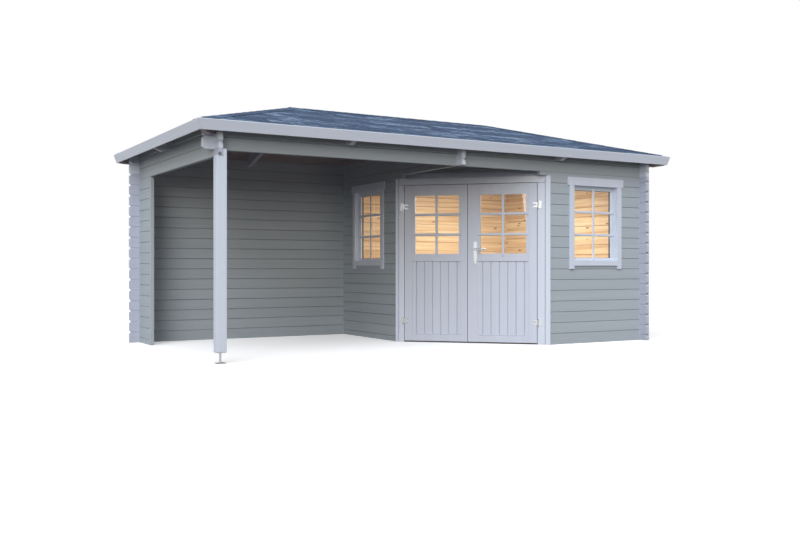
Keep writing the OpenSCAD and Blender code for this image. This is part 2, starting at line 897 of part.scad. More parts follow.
// Plan of one slope between the hips
module slope_plan(side) {
    length = side_length(side);
    if (length > wall_d) polygon([
        [-roof_reach, -roof_reach], [length + roof_reach, -roof_reach],
        [length - half_d, half_d], [half_d, half_d]
    ]);
    else polygon([
        [-roof_reach, -roof_reach], [length + roof_reach, -roof_reach],
        [half_d, half_d]
    ]);
}

// A layer of one slope from the eave to the ridge, w0 to w1 over the rafters
module slope_layer(side, w0, w1) {
    length = side_length(side);
    to_side(side) intersection() {
        along_x(-roof_reach, length + roof_reach) polygon([
            on_slope(-eave_u, w0), [half_d, ridge_z + w0 / cos(roof_pitch)],
            [half_d, ridge_z + w1 / cos(roof_pitch)], on_slope(-eave_u, w1)
        ]);
        linear_extrude(2 * ridge_z) slope_plan(side);
    }
}

// Elevation of a rafter that reaches to a distance a_end inside the wall's face
module rafter_outline(a_end) {
    polygon([
        on_slope(-eave_u, -fit), on_slope(-eave_u, -fascia_drop),
        on_slope(-eave_u + tail_cut, -rafter_h),
        [a_end, under_at(a_end) - rafter_v],
        [a_end, under_at(a_end) - fit / cos(roof_pitch)]
    ]);
}

module ridge_beam_block(h) {
    translate([half_d - rafter_w / 2, half_d - rafter_w / 2, ridge_z - rafter_v])
        cube([wall_w - wall_d + rafter_w, rafter_w, h]);
}

module ridge_beam() {
    color(pine_colour) intersection() {
        ridge_beam_block(rafter_v);
        under_roof();
    }
}

// The rafters that meet the ends of the ridge from the front and the back
module common_rafters() {
    color(pine_colour) for (side = ["front", "back"]) to_side(side)
        for (x = [half_d, wall_w - half_d])
            along_x(x - rafter_w / 2, x + rafter_w / 2)
                rafter_outline(half_d - rafter_w / 2);
}

// The rafters in the middle of the left and right slopes
module side_rafters() {
    color(pine_colour) for (side = ["left", "right"]) to_side(side)
        along_x(half_d - rafter_w / 2, half_d + rafter_w / 2)
            rafter_outline(half_d - rafter_w / 2);
}

// Space outside the fascia's inner face
module outside_fascia(side) {
    length = side_length(side);
    depth = 3 * rafter_h;
    to_side(side) along_x(-2 * roof_reach, length + 2 * roof_reach) polygon([
        on_slope(-eave_u, depth), on_slope(-eave_u - depth, depth),
        on_slope(-eave_u - depth, -depth), on_slope(-eave_u, -depth)
    ]);
}

// One hip rafter over the front left corner, up to the rafters round the ridge
module hip_rafter() {
    reach = eave_u * cos(roof_pitch) * sqrt(2);
    end = half_d * sqrt(2);
    tail = tail_cut * sqrt(2);
    rise = roof_rise / sqrt(2);
    tail_z = under_z - reach * rise - rafter_v / 2;
    low_z = under_z - (reach - 2 * tail) * rise - rafter_v;
    intersection() {
        rotate([0, 0, 45]) translate([0, -rafter_w / 2, 0]) across_y(0, rafter_w)
            polygon([
                [-reach - tail, under_z], [-reach - tail, tail_z],
                [-reach + 2 * tail, low_z],
                [end, under_z + end * rise - rafter_v], [end, ridge_z + rafter_v]
            ]);
        translate([-roof_reach, -roof_reach, 0])
            cube([roof_reach + half_d - rafter_w / 2,
                roof_reach + half_d - rafter_w / 2, 2 * ridge_z]);
        under_roof();
    }
}

module hip_rafters() {
    color(pine_colour) difference() {
        for (x = [0, 1]) for (y = [0, 1])
            translate([x * wall_w, y * wall_d, 0])
                mirror([x, 0, 0]) mirror([0, y, 0]) hip_rafter();
        for (side = ["front", "back", "left", "right"]) outside_fascia(side);
    }
}

module roof_boards_front() {
    color(pine_colour) slope_layer("front", 0, board_t);
}

module roof_boards_back() {
    color(pine_colour) slope_layer("back", 0, board_t);
}

module roof_boards_ends() {
    color(pine_colour) for (side = ["left", "right"])
        slope_layer(side, 0, board_t);
}

module roof_covering() {
    color(roof_colour) for (side = ["front", "back", "left", "right"])
        slope_layer(side, board_t, deck_t);
}

// Plan of the strips that cap the four hips and the ridge
module cap_plan() {
    intersection() {
        translate([-overhang, -overhang])
            square([wall_w + 2 * overhang, wall_d + 2 * overhang]);
        union() {
            for (x = [0, 1]) for (y = [0, 1])
                translate([x * wall_w, y * wall_d])
                    mirror([x, 0]) mirror([0, y]) rotate(45)
                        translate([-2 * roof_reach, -cap_w]) square([
                            2 * roof_reach + half_d * sqrt(2), 2 * cap_w]);
            translate([half_d, half_d - cap_w])
                square([wall_w - wall_d, 2 * cap_w]);
        }
    }
}

module roof_caps() {
    color(roof_colour) intersection() {
        difference() {
            under_roof((deck_t + cap_t) / cos(roof_pitch));
            under_roof((deck_t + fit) / cos(roof_pitch));
        }
        linear_extrude(2 * ridge_z) cap_plan();
    }
}

// A fascia board, square to the slope and mitred at the corners
module fascia(side) {
    length = side_length(side);
    to_side(side) intersection() {
        along_x(-roof_reach, length + roof_reach) polygon([
            on_slope(-eave_u, -fascia_drop), on_slope(-eave_u, deck_t),
            on_slope(-eave_u - fascia_t, deck_t),
            on_slope(-eave_u - fascia_t, -fascia_drop)
        ]);
        linear_extrude(2 * ridge_z) slope_plan(side);
    }
}

module fascia_long() {
    color(trim_colour) for (side = ["front", "back"]) fascia(side);
}

module fascia_ends() {
    color(trim_colour) for (side = ["left", "right"]) fascia(side);
}

// ---- Floor --------------------------------------------------------------

// Plan of the room inside the cabin, a gap clear of the walls and the door frame
module room_plan() {
    x0 = terrace_w + log_t + fit;
    y0 = log_t + fit;
    x1 = right_in - fit;
    y1 = back_in - fit;
    slant = terrace_w + corner_leg + (frame_depth + fit) * sqrt(2);
    polygon([[slant - y0, y0], [x1, y0], [x1, y1], [x0, y1], [x0, slant - x0]]);
}

module floor_bearers() {
    first = log_t + fit;
    step = (back_in - fit - bearer_w - first) / (bearers - 1);
    color(pine_colour) linear_extrude(bearer_h) intersection() {
        room_plan();
        for (i = [0 : bearers - 1])
            translate([0, first + i * step]) square([wall_w, bearer_w]);
    }
}

module floor_boards() {
    color(pine_colour) translate([0, 0, bearer_h])
        linear_extrude(floor_t) room_plan();
}

// ---- Assembly -----------------------------------------------------------

centred() back_wall();
centred() right_wall();
centred() front_wall();
centred() front_beam();
centred() left_wall();
centred() left_wall_end_board();
centred() left_beam();
centred() cabin_left_wall();
centred() cabin_left_beam();
centred() door_header();
centred() door_trim_board();
centred() door_jamb_left();
centred() door_jamb_right();
centred() door_head();
centred() door_threshold();
centred() corner_boards();
centred() frame_hinges();
centred() door_left_leaf();
centred() door_left_panel();
centred() door_left_glass();
centred() door_left_hinges();
centred() door_right_leaf();
centred() door_right_panel();
centred() door_right_glass();
centred() door_right_hinges();
centred() door_lock_plates();
centred() door_handle();
centred() front_window_casing();
centred() front_window_frame();
centred() front_window_sash();
centred() front_window_glass();
centred() side_window_casing();
centred() side_window_frame();
centred() side_window_sash();
centred() side_window_glass();
centred() post();
centred() post_foot();
centred() ridge_beam();
centred() common_rafters();
centred() side_rafters();
centred() hip_rafters();
centred() roof_boards_front();
centred() roof_boards_back();
centred() roof_boards_ends();
centred() roof_covering();
centred() roof_caps();
centred() fascia_long();
centred() fascia_ends();
centred() floor_bearers();
centred() floor_boards();
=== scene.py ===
import bpy
import json
import math
import random
from mathutils import Matrix, Vector

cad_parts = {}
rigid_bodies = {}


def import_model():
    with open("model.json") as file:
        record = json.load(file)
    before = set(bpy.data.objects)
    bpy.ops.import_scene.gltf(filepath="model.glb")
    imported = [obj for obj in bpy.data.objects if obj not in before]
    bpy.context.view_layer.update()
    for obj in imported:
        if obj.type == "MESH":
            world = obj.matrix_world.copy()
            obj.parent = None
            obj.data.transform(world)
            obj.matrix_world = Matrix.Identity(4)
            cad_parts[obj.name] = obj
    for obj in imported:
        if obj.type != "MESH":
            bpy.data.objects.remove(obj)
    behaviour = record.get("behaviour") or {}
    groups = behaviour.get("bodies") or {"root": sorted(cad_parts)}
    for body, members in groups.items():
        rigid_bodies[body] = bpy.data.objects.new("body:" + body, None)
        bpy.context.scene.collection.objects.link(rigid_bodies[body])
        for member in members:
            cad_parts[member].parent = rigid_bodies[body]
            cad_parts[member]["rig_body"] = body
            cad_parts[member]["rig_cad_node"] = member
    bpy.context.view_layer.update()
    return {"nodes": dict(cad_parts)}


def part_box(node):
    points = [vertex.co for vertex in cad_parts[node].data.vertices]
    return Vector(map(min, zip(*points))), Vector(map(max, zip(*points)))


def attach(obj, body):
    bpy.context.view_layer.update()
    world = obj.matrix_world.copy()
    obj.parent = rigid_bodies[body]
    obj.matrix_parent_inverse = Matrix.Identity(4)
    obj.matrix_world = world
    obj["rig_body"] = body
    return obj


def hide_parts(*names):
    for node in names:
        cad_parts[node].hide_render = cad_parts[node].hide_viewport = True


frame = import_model()
nodes = frame["nodes"]
print("frame loaded,", len(nodes), "nodes")

# the shed's own lines, in metres
shed = {
    "halfWidth": 2.495,     # wall faces to the left and right of the middle
    "halfDepth": 1.26,      # wall faces to the front and the back
    "course": 0.114,        # height of a log
    "topCourse": 2.052,     # top of the whole courses
    "beamUnder": 1.83,      # the beams' lowest joint
    "pitch": math.radians(16.25),
    "underZ": 2.088,        # roof boards' underside over the walls' outer faces
    "boardT": 0.018,
    "boardPitch": 0.0902,   # width of a roof board, measured level
    "floorPitch": 0.1105,
    "shingleT": 0.006,
    "eaveU": 0.20007,       # boards' lower end, measured down the slope
    "cornerX": -0.018,      # left end of the slanted door wall
    "cornerY": -0.065,
    "roomLeft": 0.022,      # inner faces of the cabin's walls
    "roomRight": 2.455,
    "roomDepth": 1.22,
    "roomSlant": 0.0192,    # x + y along the room's cut-off corner
}
deckT = shed["boardT"] + shed["shingleT"]
ridgeZ = shed["underZ"] + shed["halfDepth"] * math.tan(shed["pitch"])
quarter = math.pi / 2


# shader helpers
def newGroup(name, inputs, outputs):
    # the one called Vector is a vector, all others are numbers
    group = bpy.data.node_groups.new(name, "ShaderNodeTree")
    for label in inputs:
        kind = "NodeSocketVector" if label == "Vector" else "NodeSocketFloat"
        group.interface.new_socket(name=label, in_out="INPUT", socket_type=kind)
    for label in outputs:
        group.interface.new_socket(name=label, in_out="OUTPUT", socket_type="NodeSocketFloat")
    return group, group.nodes.new("NodeGroupInput"), group.nodes.new("NodeGroupOutput")


def addNode(tree, kind, settings=None, values=None):
    node = tree.nodes.new(kind)
    for key, value in (settings or {}).items():
        setattr(node, key, value)
    for key, value in (values or {}).items():
        node.inputs[key].default_value = value
    return node


def mathNode(tree, operation, first, second=None, clamp=False):
    # first and second are numbers or sockets
    node = addNode(tree, "ShaderNodeMath", {"operation": operation, "use_clamp": clamp})
    for slotIndex, value in enumerate((first, second)):
        if value is None:
            continue
        if isinstance(value, (int, float)):
            node.inputs[slotIndex].default_value = value
        else:
            tree.links.new(value, node.inputs[slotIndex])
    return node.outputs[0]


def rangeNode(tree, value, fromMin, fromMax, toMin=0.0, toMax=1.0):
    node = addNode(tree, "ShaderNodeMapRange", None,
                   {"From Min": fromMin, "From Max": fromMax, "To Min": toMin, "To Max": toMax})
    tree.links.new(value, node.inputs["Value"])
    return node.outputs["Result"]


def mixColours(tree, factor, first, second):
    # a mix node's sockets 0, 6 and 7 are the factor and the two colours
    node = addNode(tree, "ShaderNodeMix", {"data_type": "RGBA"})
    for index, value in ((0, factor), (6, first), (7, second)):
        socket = node.inputs[index]
        if isinstance(value, (int, float)):
            socket.default_value = value
        elif isinstance(value, (tuple, list)):
            socket.default_value = tuple(value) + (1.0,) if len(value) == 3 else value
        else:
            tree.links.new(value, socket)
    return node.outputs[2]


def noiseNode(tree, vector, scale, detail, roughness=0.5, distortion=0.0):
    node = addNode(tree, "ShaderNodeTexNoise", None,
                   {"Scale": scale, "Detail": detail, "Roughness": roughness,
                    "Distortion": distortion})
    tree.links.new(vector, node.inputs["Vector"])
    return node.outputs["Fac"]


def moveVector(tree, operation, vector, by):
    # by is three numbers or a socket
    node = addNode(tree, "ShaderNodeVectorMath", {"operation": operation})
    tree.links.new(vector, node.inputs[0])
    if isinstance(by, tuple):
        node.inputs[1].default_value = by
    else:
        tree.links.new(by, node.inputs[1])
    return node.outputs[0]


def splitVector(tree, vector):
    node = tree.nodes.new("ShaderNodeSeparateXYZ")
    tree.links.new(vector, node.inputs[0])
    return node.outputs


def newMaterial(name):
    material = bpy.data.materials.new(name)
    material.use_nodes = True
    tree = material.node_tree
    tree.nodes.clear()
    out = tree.nodes.new("ShaderNodeOutputMaterial")
    shader = tree.nodes.new("ShaderNodeBsdfPrincipled")
    tree.links.new(shader.outputs[0], out.inputs["Surface"])
    return material, tree, shader


def objectPlace(tree):
    return tree.nodes.new("ShaderNodeTexCoord").outputs["Object"]


def turnedPlace(tree, turn):
    # object coordinates, also turned so that x runs along the timber
    place = objectPlace(tree)
    mapping = addNode(tree, "ShaderNodeMapping", None, {"Rotation": turn})
    tree.links.new(place, mapping.inputs["Vector"])
    return place, mapping.outputs["Vector"]


def useGroup(tree, group, links=None, values=None):
    node = tree.nodes.new("ShaderNodeGroup")
    node.node_tree = group
    for key, socket in (links or {}).items():
        tree.links.new(socket, node.inputs[key])
    for key, value in (values or {}).items():
        node.inputs[key].default_value = value
    return node


def dressShader(tree, shader, colour, rough, height, bump):
    # rough is a number or a socket, bump its strength and distance
    strength, distance = bump
    tree.links.new(colour, shader.inputs["Base Color"])
    if isinstance(rough, float):
        shader.inputs["Roughness"].default_value = rough
    else:
        tree.links.new(rough, shader.inputs["Roughness"])
    relief = addNode(tree, "ShaderNodeBump", None, {"Strength": strength, "Distance": distance})
    tree.links.new(height, relief.inputs["Height"])
    tree.links.new(relief.outputs[0], shader.inputs["Normal"])


# camera, floor and light
view = {
    "place": (-5.072, -8.833, 0.825),
    "turn": math.radians(-30.21),
    "lens": 41.33,
    "sensor": 36,
    "farEnd": 200,
    "lightPlace": (-6, -7, 8),          # a sun shines the same from anywhere
    "keyFrom": (-0.60, -0.68, 0.92),    # towards the wide, soft key light
    "keyWidth": math.radians(50),
    "keyStrength": 2.44,
    "keyColour": (0.845, 0.909, 1.0),
    "lowFrom": (-0.60, -0.79, 0.10),    # towards a weaker light near the horizon
    "lowWidth": math.radians(30),
    "lowStrength": 1.22,
    "lowColour": (1.0, 0.93, 0.83),     # the warmer one, which reaches the terrace
    "skyStrength": 0.57,
    "skyColour": (0.98, 0.95, 0.91, 1.0),
    "lampPlace": (1.30, -0.05, 1.80),
    "lampSize": 0.9,
    "lampPower": 42,
    "lampColour": (1.0, 0.93, 0.82),
    "floorSize": 400.0,
    "floorShade": (0.078, 0.041, 0.027, 1),     # round the shed, for the light it gives back
    "groundShade": (0.095, 0.088, 0.080, 1),    # and farther away
    "shadeLow": (-3.62, -2.62),                 # corners of the part round the shed
    "shadeHigh": (3.12, 2.09),
    "white": (1, 1, 1, 1),
    "floorPale": (0.80, 0.80, 0.80, 1),
    "floorGlow": 0.34,
}


def setCamera():
    bpy.ops.object.camera_add(location=view["place"], rotation=(quarter, 0, view["turn"]))
    camera = bpy.context.object
    camera.data.lens = view["lens"]
    camera.data.sensor_width = view["sensor"]
    camera.data.clip_end = view["farEnd"]
    bpy.context.scene.camera = camera


def addSoftLight(name):
    turn = Vector(view[name + "From"]).to_track_quat("Z", "Y").to_euler()
    bpy.ops.object.light_add(type="SUN", location=view["lightPlace"], rotation=turn)
    light = bpy.context.object
    light.data.angle = view[name + "Width"]
    light.data.energy = view[name + "Strength"]
    light.data.color = view[name + "Colour"]


def addRoomLamp():
    # the warm light that is on in the cabin
    bpy.ops.object.light_add(type="AREA", location=view["lampPlace"])
    lamp = bpy.context.object
    lamp.data.size = view["lampSize"]
    lamp.data.energy = view["lampPower"]
    lamp.data.color = view["lampColour"]


def seenRays(tree):
    # 1 for what the camera sees, also in metal and through glass
    path = tree.nodes.new("ShaderNodeLightPath")
    total = path.outputs["Is Camera Ray"]
    for label in ("Is Glossy Ray", "Is Transmission Ray"):
        total = mathNode(tree, "MAXIMUM", total, path.outputs[label])
    return total


def mixSeen(tree, hidden, shown):
    # one shader for bounced light, the other for what is seen
    mix = tree.nodes.new("ShaderNodeMixShader")
    tree.links.new(seenRays(tree), mix.inputs["Fac"])
    tree.links.new(hidden.outputs[0], mix.inputs[1])
    tree.links.new(shown.outputs[0], mix.inputs[2])
    return mix.outputs[0]


def setSky():
    world = bpy.data.worlds.new("studioSky")
    bpy.context.scene.world = world
    world.use_nodes = True
    tree = world.node_tree
    tree.nodes.clear()
    out = tree.nodes.new("ShaderNodeOutputWorld")
    soft = addNode(tree, "ShaderNodeBackground", None,
                   {"Color": view["skyColour"], "Strength": view["skyStrength"]})
    white = addNode(tree, "ShaderNodeBackground", None, {"Color": view["white"]})
    tree.links.new(mixSeen(tree, soft, white), out.inputs["Surface"])


def floorShade(tree):
    # the tone that only bounced light meets: brown round the shed, grey beyond
    place = splitVector(tree, objectPlace(tree))
    inside = 1.0
    for label, low, high in zip("XY", view["shadeLow"], view["shadeHigh"]):
        away = mathNode(tree, "ABSOLUTE",
                        mathNode(tree, "SUBTRACT", place[label], (low + high) / 2))
        near = mathNode(tree, "LESS_THAN", away, (high - low) / 2)
        inside = mathNode(tree, "MULTIPLY", inside, near)
    return mixColours(tree, inside, view["groundShade"], view["floorShade"])


def addFloor():
    bpy.ops.mesh.primitive_plane_add(size=view["floorSize"], location=(0, 0, 0))
    floor = bpy.context.object
    floor.name = "studioFloor"
    material = bpy.data.materials.new("studioFloor")
    material.use_nodes = True
    tree = material.node_tree
    tree.nodes.clear()
    out = tree.nodes.new("ShaderNodeOutputMaterial")
    matt = tree.nodes.new("ShaderNodeBsdfDiffuse")
    tree.links.new(floorShade(tree), matt.inputs["Color"])
    pale = addNode(tree, "ShaderNodeBsdfDiffuse", None, {"Color": view["floorPale"]})
    glow = addNode(tree, "ShaderNodeEmission", None, {"Strength": view["floorGlow"]})
    lit = tree.nodes.new("ShaderNodeAddShader")
    tree.links.new(pale.outputs[0], lit.inputs[0])
    tree.links.new(glow.outputs[0], lit.inputs[1])
    tree.links.new(mixSeen(tree, matt, lit), out.inputs["Surface"])
    floor.data.materials.append(material)


setCamera()
setSky()
addFloor()
addSoftLight("key")
addSoftLight("low")
addRoomLamp()
bpy.context.scene.view_settings.view_transform = "Standard"
print("camera, floor and light set")


# modelling helpers
facing = 0.9        # how closely a direction has to follow an axis
near = 0.001        # how close to a face counts as on it
edgeLook = {
    "steps": 2,
    "sharp": math.radians(30),      # flatter edges stay as they are
    "weld": 0.00002,
    "flat": math.radians(0.5),
}


def selectOnly(piece):
    bpy.ops.object.select_all(action="DESELECT")
    piece.select_set(True)
    bpy.context.view_layer.objects.active = piece


def settlePlace(piece):
    selectOnly(piece)
    bpy.ops.object.transform_apply(location=True, rotation=True, scale=True)


def addBlock(name, low, high):
    # a squared piece of timber between two corners
    middle = [(a + b) / 2 for a, b in zip(low, high)]
    bpy.ops.mesh.primitive_cube_add(size=1, location=middle)
    piece = bpy.context.object
    piece.name = name
    piece.scale = [b - a for a, b in zip(low, high)]
    settlePlace(piece)
    return piece


def roundEdges(piece, width):
    modifier = piece.modifiers.new("edges", "BEVEL")
    modifier.width = width
    modifier.segments = edgeLook["steps"]
    modifier.limit_method = "ANGLE"
    modifier.angle_limit = edgeLook["sharp"]
    selectOnly(piece)
    bpy.ops.object.modifier_apply(modifier=modifier.name)


def clearPicks(mesh):
    for part in (mesh.vertices, mesh.edges, mesh.polygons):
        part.foreach_set("select", [False] * len(part))


def pickEdges(piece, wanted):
    # wanted is told the edge's middle and direction
    mesh = piece.data
    clearPicks(mesh)
    bpy.context.scene.tool_settings.mesh_select_mode = (False, True, False)
    for edge in mesh.edges:
        a, b = (mesh.vertices[i].co for i in edge.vertices)
        edge.select = bool(wanted((a + b) / 2, (b - a).normalized()))


def pickFaces(piece, wanted):
    # wanted is told the face's middle and normal
    mesh = piece.data
    clearPicks(mesh)
    bpy.context.scene.tool_settings.mesh_select_mode = (False, False, True)
    for face in mesh.polygons:
        face.select = bool(wanted(face.center, face.normal))


def startEdit(piece):
    selectOnly(piece)
    bpy.ops.object.mode_set(mode="EDIT")


def endEdit():
    bpy.ops.object.mode_set(mode="OBJECT")


def chamferEdges(piece, wanted, width):
    pickEdges(piece, wanted)
    startEdit(piece)
    bpy.ops.mesh.bevel(offset=width, segments=1, affect="EDGES")
    endEdit()


def cutAway(piece, point, normal):
    # takes off what lies on the side that the normal points to
    startEdit(piece)
    bpy.ops.mesh.select_all(action="SELECT")
    bpy.ops.mesh.bisect(plane_co=point, plane_no=normal, use_fill=True,
                        clear_inner=False, clear_outer=True)
    endEdit()


def copyPiece(piece, matrix):
    twin = piece.copy()
    twin.data = piece.data.copy()
    twin.data.transform(matrix)
    bpy.context.scene.collection.objects.link(twin)
    return twin


def joinPieces(pieces, name):
    bpy.ops.object.select_all(action="DESELECT")
    for piece in pieces:
        piece.select_set(True)
    bpy.context.view_layer.objects.active = pieces[0]
    if len(pieces) > 1:
        bpy.ops.object.join()
    joined = bpy.context.view_layer.objects.active
    joined.name = name
    joined.data.name = name
    return joined


def makeBoards(name, blocks, soft):
    # blocks between their corners, with rounded edges, as one piece
    boards = []
    for low, high in blocks:
        board = addBlock("board", low, high)
        roundEdges(board, soft)
        boards.append(board)
    return joinPieces(boards, name)


def finishPiece(piece, body, material, instead=()):
    piece.data.materials.clear()
    piece.data.materials.append(material)
    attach(piece, body)
    if instead:
        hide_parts(*instead)


def mergedCopy(node, name):
    # the node's shape as one clean mesh, with flat faces whole again
    piece = nodes[node].copy()
    piece.data = nodes[node].data.copy()
    piece.name = name
    piece.parent = None
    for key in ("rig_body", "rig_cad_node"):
        if key in piece:
            del piece[key]
    bpy.context.scene.collection.objects.link(piece)
    startEdit(piece)
    bpy.ops.mesh.select_all(action="SELECT")
    bpy.ops.mesh.remove_doubles(threshold=edgeLook["weld"])
    bpy.ops.mesh.dissolve_limited(angle_limit=edgeLook["flat"])
    endEdit()
    if piece.data.has_custom_normals:
        bpy.ops.mesh.customdata_custom_splitnormals_clear()
    bpy.ops.object.shade_flat()
    return piece


def toDoorWall(piece):
    # carries a piece drawn along x, outside towards -y, to the slanted wall
    piece.data.transform(Matrix.Translation((shed["cornerX"], shed["cornerY"], 0))
                         @ Matrix.Rotation(-math.pi / 4, 4, "Z"))
    piece.data.update()


grainLook = {
    "fine": {"Detail": 4.0, "Roughness": 0.6},
    "coarse": (14.0, 3.0, 0.55, 0.6),   # scale, detail, roughness and distortion
    "knotScale": 6.0,
    "knotStretch": (0.55, 1.0, 1.0),
    "knotEdge": (0.07, 0.13, 1.0, 0.0),
    "roomEdge": 0.007,      # how deep bare pine begins behind the painted face
}


def buildGrain():
    # fine and coarse grain along the vector's x
    look = grainLook
    group, given, out = newGroup("woodGrain", ("Vector", "Fibre", "Stretch"),
                                 ("Fine", "Coarse", "Knots"))
    scale = addNode(group, "ShaderNodeCombineXYZ", None, {"Y": 1.0, "Z": 1.0})
    group.links.new(given.outputs["Stretch"], scale.inputs["X"])
    drawn = moveVector(group, "MULTIPLY", given.outputs["Vector"], scale.outputs[0])
    fine = addNode(group, "ShaderNodeTexNoise", None, look["fine"])
    group.links.new(drawn, fine.inputs["Vector"])
    group.links.new(given.outputs["Fibre"], fine.inputs["Scale"])
    cells = addNode(group, "ShaderNodeTexVoronoi", None, {"Scale": look["knotScale"]})
    group.links.new(moveVector(group, "MULTIPLY", given.outputs["Vector"], look["knotStretch"]),
                    cells.inputs["Vector"])
    group.links.new(fine.outputs["Fac"], out.inputs["Fine"])
    group.links.new(noiseNode(group, drawn, *look["coarse"]), out.inputs["Coarse"])
    group.links.new(rangeNode(group, cells.outputs["Distance"], *look["knotEdge"]),
                    out.inputs["Knots"])
    return group


def buildCourses():
    # one random tone for each board or log, and a mask of the joints between
    group, given, out = newGroup("boardCourses", ("Place", "Pitch", "Shift", "Width"),
                                 ("Tone", "Joint"))
    steps = mathNode(group, "DIVIDE", given.outputs["Place"], given.outputs["Pitch"])
    steps = mathNode(group, "ADD", steps, given.outputs["Shift"])
    whole = mathNode(group, "FLOOR", steps)
    tone = addNode(group, "ShaderNodeTexWhiteNoise", {"noise_dimensions": "1D"})
    group.links.new(whole, tone.inputs["W"])
    part = mathNode(group, "FRACT", steps)
    fromJoint = mathNode(group, "MINIMUM", part, mathNode(group, "SUBTRACT", 1.0, part))
    share = mathNode(group, "DIVIDE", fromJoint, given.outputs["Width"])
    joint = mathNode(group, "SUBTRACT", 1.0, share, clamp=True)
    group.links.new(tone.outputs["Value"], out.inputs["Tone"])
    group.links.new(joint, out.inputs["Joint"])
    return group


def buildRoomMask():
    # 1 on what lies inside the cabin's painted walls, 0 outside
    group, given, out = newGroup("insideCabin", ("Vector",), ("Inside",))
    place = splitVector(group, given.outputs["Vector"])
    edge = grainLook["roomEdge"]
    x, y = place["X"], place["Y"]
    tests = [mathNode(group, "GREATER_THAN", x, shed["roomLeft"] - edge),
             mathNode(group, "LESS_THAN", x, shed["roomRight"] + edge),
             mathNode(group, "LESS_THAN", mathNode(group, "ABSOLUTE", y),
                      shed["roomDepth"] + edge),
             mathNode(group, "GREATER_THAN", mathNode(group, "ADD", x, y),
                      shed["roomSlant"] + edge)]
    inside = tests[0]
    for test in tests[1:]:
        inside = mathNode(group, "MULTIPLY", inside, test)
    group.links.new(inside, out.inputs["Inside"])
    return group


grainGroup = buildGrain()
courseGroup = buildCourses()
roomGroup = buildRoomMask()

alongX = (0, 0, 0)
alongY = (0, 0, -quarter)
alongZ = (0, quarter, 0)
alongDoor = (0, 0, math.pi / 4)

paints = {
    "log": (0.396, 0.450, 0.496),
    "logDark": (0.338, 0.386, 0.428),
    # near black, painted shade in the V-joints between logs
    "joint": (0.10, 0.115, 0.12),
    "trim": (0.612, 0.668, 0.776),
    "trimDark": (0.547, 0.601, 0.705),
    # a darker copy of the trim paint, painted shade on the doors and rafters under the roof
    "door": (0.556, 0.600, 0.704),
    "doorDark": (0.497, 0.540, 0.639),
    "logEnd": (0.455, 0.488, 0.588),
    "logEndDark": (0.407, 0.437, 0.530),
    "pineLight": (0.81, 0.68, 0.46),
    "pineDark": (0.58, 0.39, 0.21),
    "knot": (0.20, 0.095, 0.04),
    # near black, painted shade for the slit under the door leaves
    "shadedSill": (0.085, 0.060, 0.050),
    "shadedSillDark": (0.050, 0.036, 0.030),
    # a darker, warmer copy of the trim paint, painted shade under the roof
    "shadedSoffit": (0.360, 0.325, 0.350),
    "shadedSoffitDark": (0.280, 0.252, 0.272),
    "shingleDark": (0.027, 0.050, 0.106),
    "shingleMid": (0.054, 0.092, 0.172),
    "shinglePale": (0.33, 0.45, 0.59),
    "rubber": (0.016, 0.016, 0.018),
    "rubberBloom": (0.040, 0.040, 0.043),
    "glass": (0.96, 0.98, 0.98, 1),
}

woodLook = {
    "worn": ("Coarse", 0.35, 0.70, 0.55),   # grain, where it starts and ends, how dark
    "lined": ("Fine", 0.30, 0.75, 0.28),
    "paintFibre": {"Fibre": 90.0, "Stretch": 0.03},
    "fineRise": 0.7,
    "knotRise": 0.5,
    "pineFibre": {"Fibre": 70.0, "Stretch": 0.05},
    "pineScale": (1.0, 1.7, 1.7),
    "pineStart": 9.0,       # how far apart the grain of two boards can start
    "rings": (0.38, 0.62),
    "boardTone": 0.4,
    "boardJoint": 0.8,
    "jointShare": 0.04,
    "logTone": 0.35,
    "logJointShade": 0.6,
    "logJointShare": 0.045,
    "endFrom": 0.0002,      # past the walls' faces
    "bearerPitch": 0.5,
    "floorShift": 0.2,
    "roughFrom": (0.2, 0.8),
    # how rough from and to, and how strong and deep the bump
    "logFinish": ((0.46, 0.62), (0.35, 0.0012)),
    "trimFinish": ((0.40, 0.55), (0.3, 0.001)),
    "pineFinish": ((0.5, 0.68), (0.3, 0.001)),
    "roofFinish": ((0.48, 0.64), (0.3, 0.001)),
}


def paintedWood(tree, along, base, dark):
    grain = useGroup(tree, grainGroup, {"Vector": along}, woodLook["paintFibre"])
    for part, low, high, most in (woodLook["worn"], woodLook["lined"]):
        shade = rangeNode(tree, grain.outputs[part], low, high, 0.0, most)
        base = mixColours(tree, shade, base, dark)
    fine = mathNode(tree, "MULTIPLY", grain.outputs["Fine"], woodLook["fineRise"])
    knots = mathNode(tree, "MULTIPLY", grain.outputs["Knots"], woodLook["knotRise"])
    return base, mathNode(tree, "ADD", fine, knots), grain


def darken(tree, colour, amount, share, dark):
    return mixColours(tree, mathNode(tree, "MULTIPLY", amount, share), colour, dark)


def barePine(tree, along, tone, joint):
    # each board's grain starts at a place of its own
    start = addNode(tree, "ShaderNodeCombineXYZ")
    tree.links.new(mathNode(tree, "MULTIPLY", tone, woodLook["pineStart"]), start.inputs["X"])
    finer = moveVector(tree, "MULTIPLY", along, woodLook["pineScale"])
    moved = moveVector(tree, "ADD", finer, start.outputs[0])
    grain = useGroup(tree, grainGroup, {"Vector": moved}, woodLook["pineFibre"])
    colour = mixColours(tree, rangeNode(tree, grain.outputs["Coarse"], *woodLook["rings"]),
                        paints["pineLight"], paints["pineDark"])
    colour = darken(tree, colour, tone, woodLook["boardTone"], paints["pineDark"])
    colour = mixColours(tree, grain.outputs["Knots"], colour, paints["knot"])
    return darken(tree, colour, joint, woodLook["boardJoint"], paints["knot"]), grain


def bareInside(tree, place, painted, pine):
    room = useGroup(tree, roomGroup, {"Vector": place})
    return mixColours(tree, room.outputs["Inside"], painted, pine)


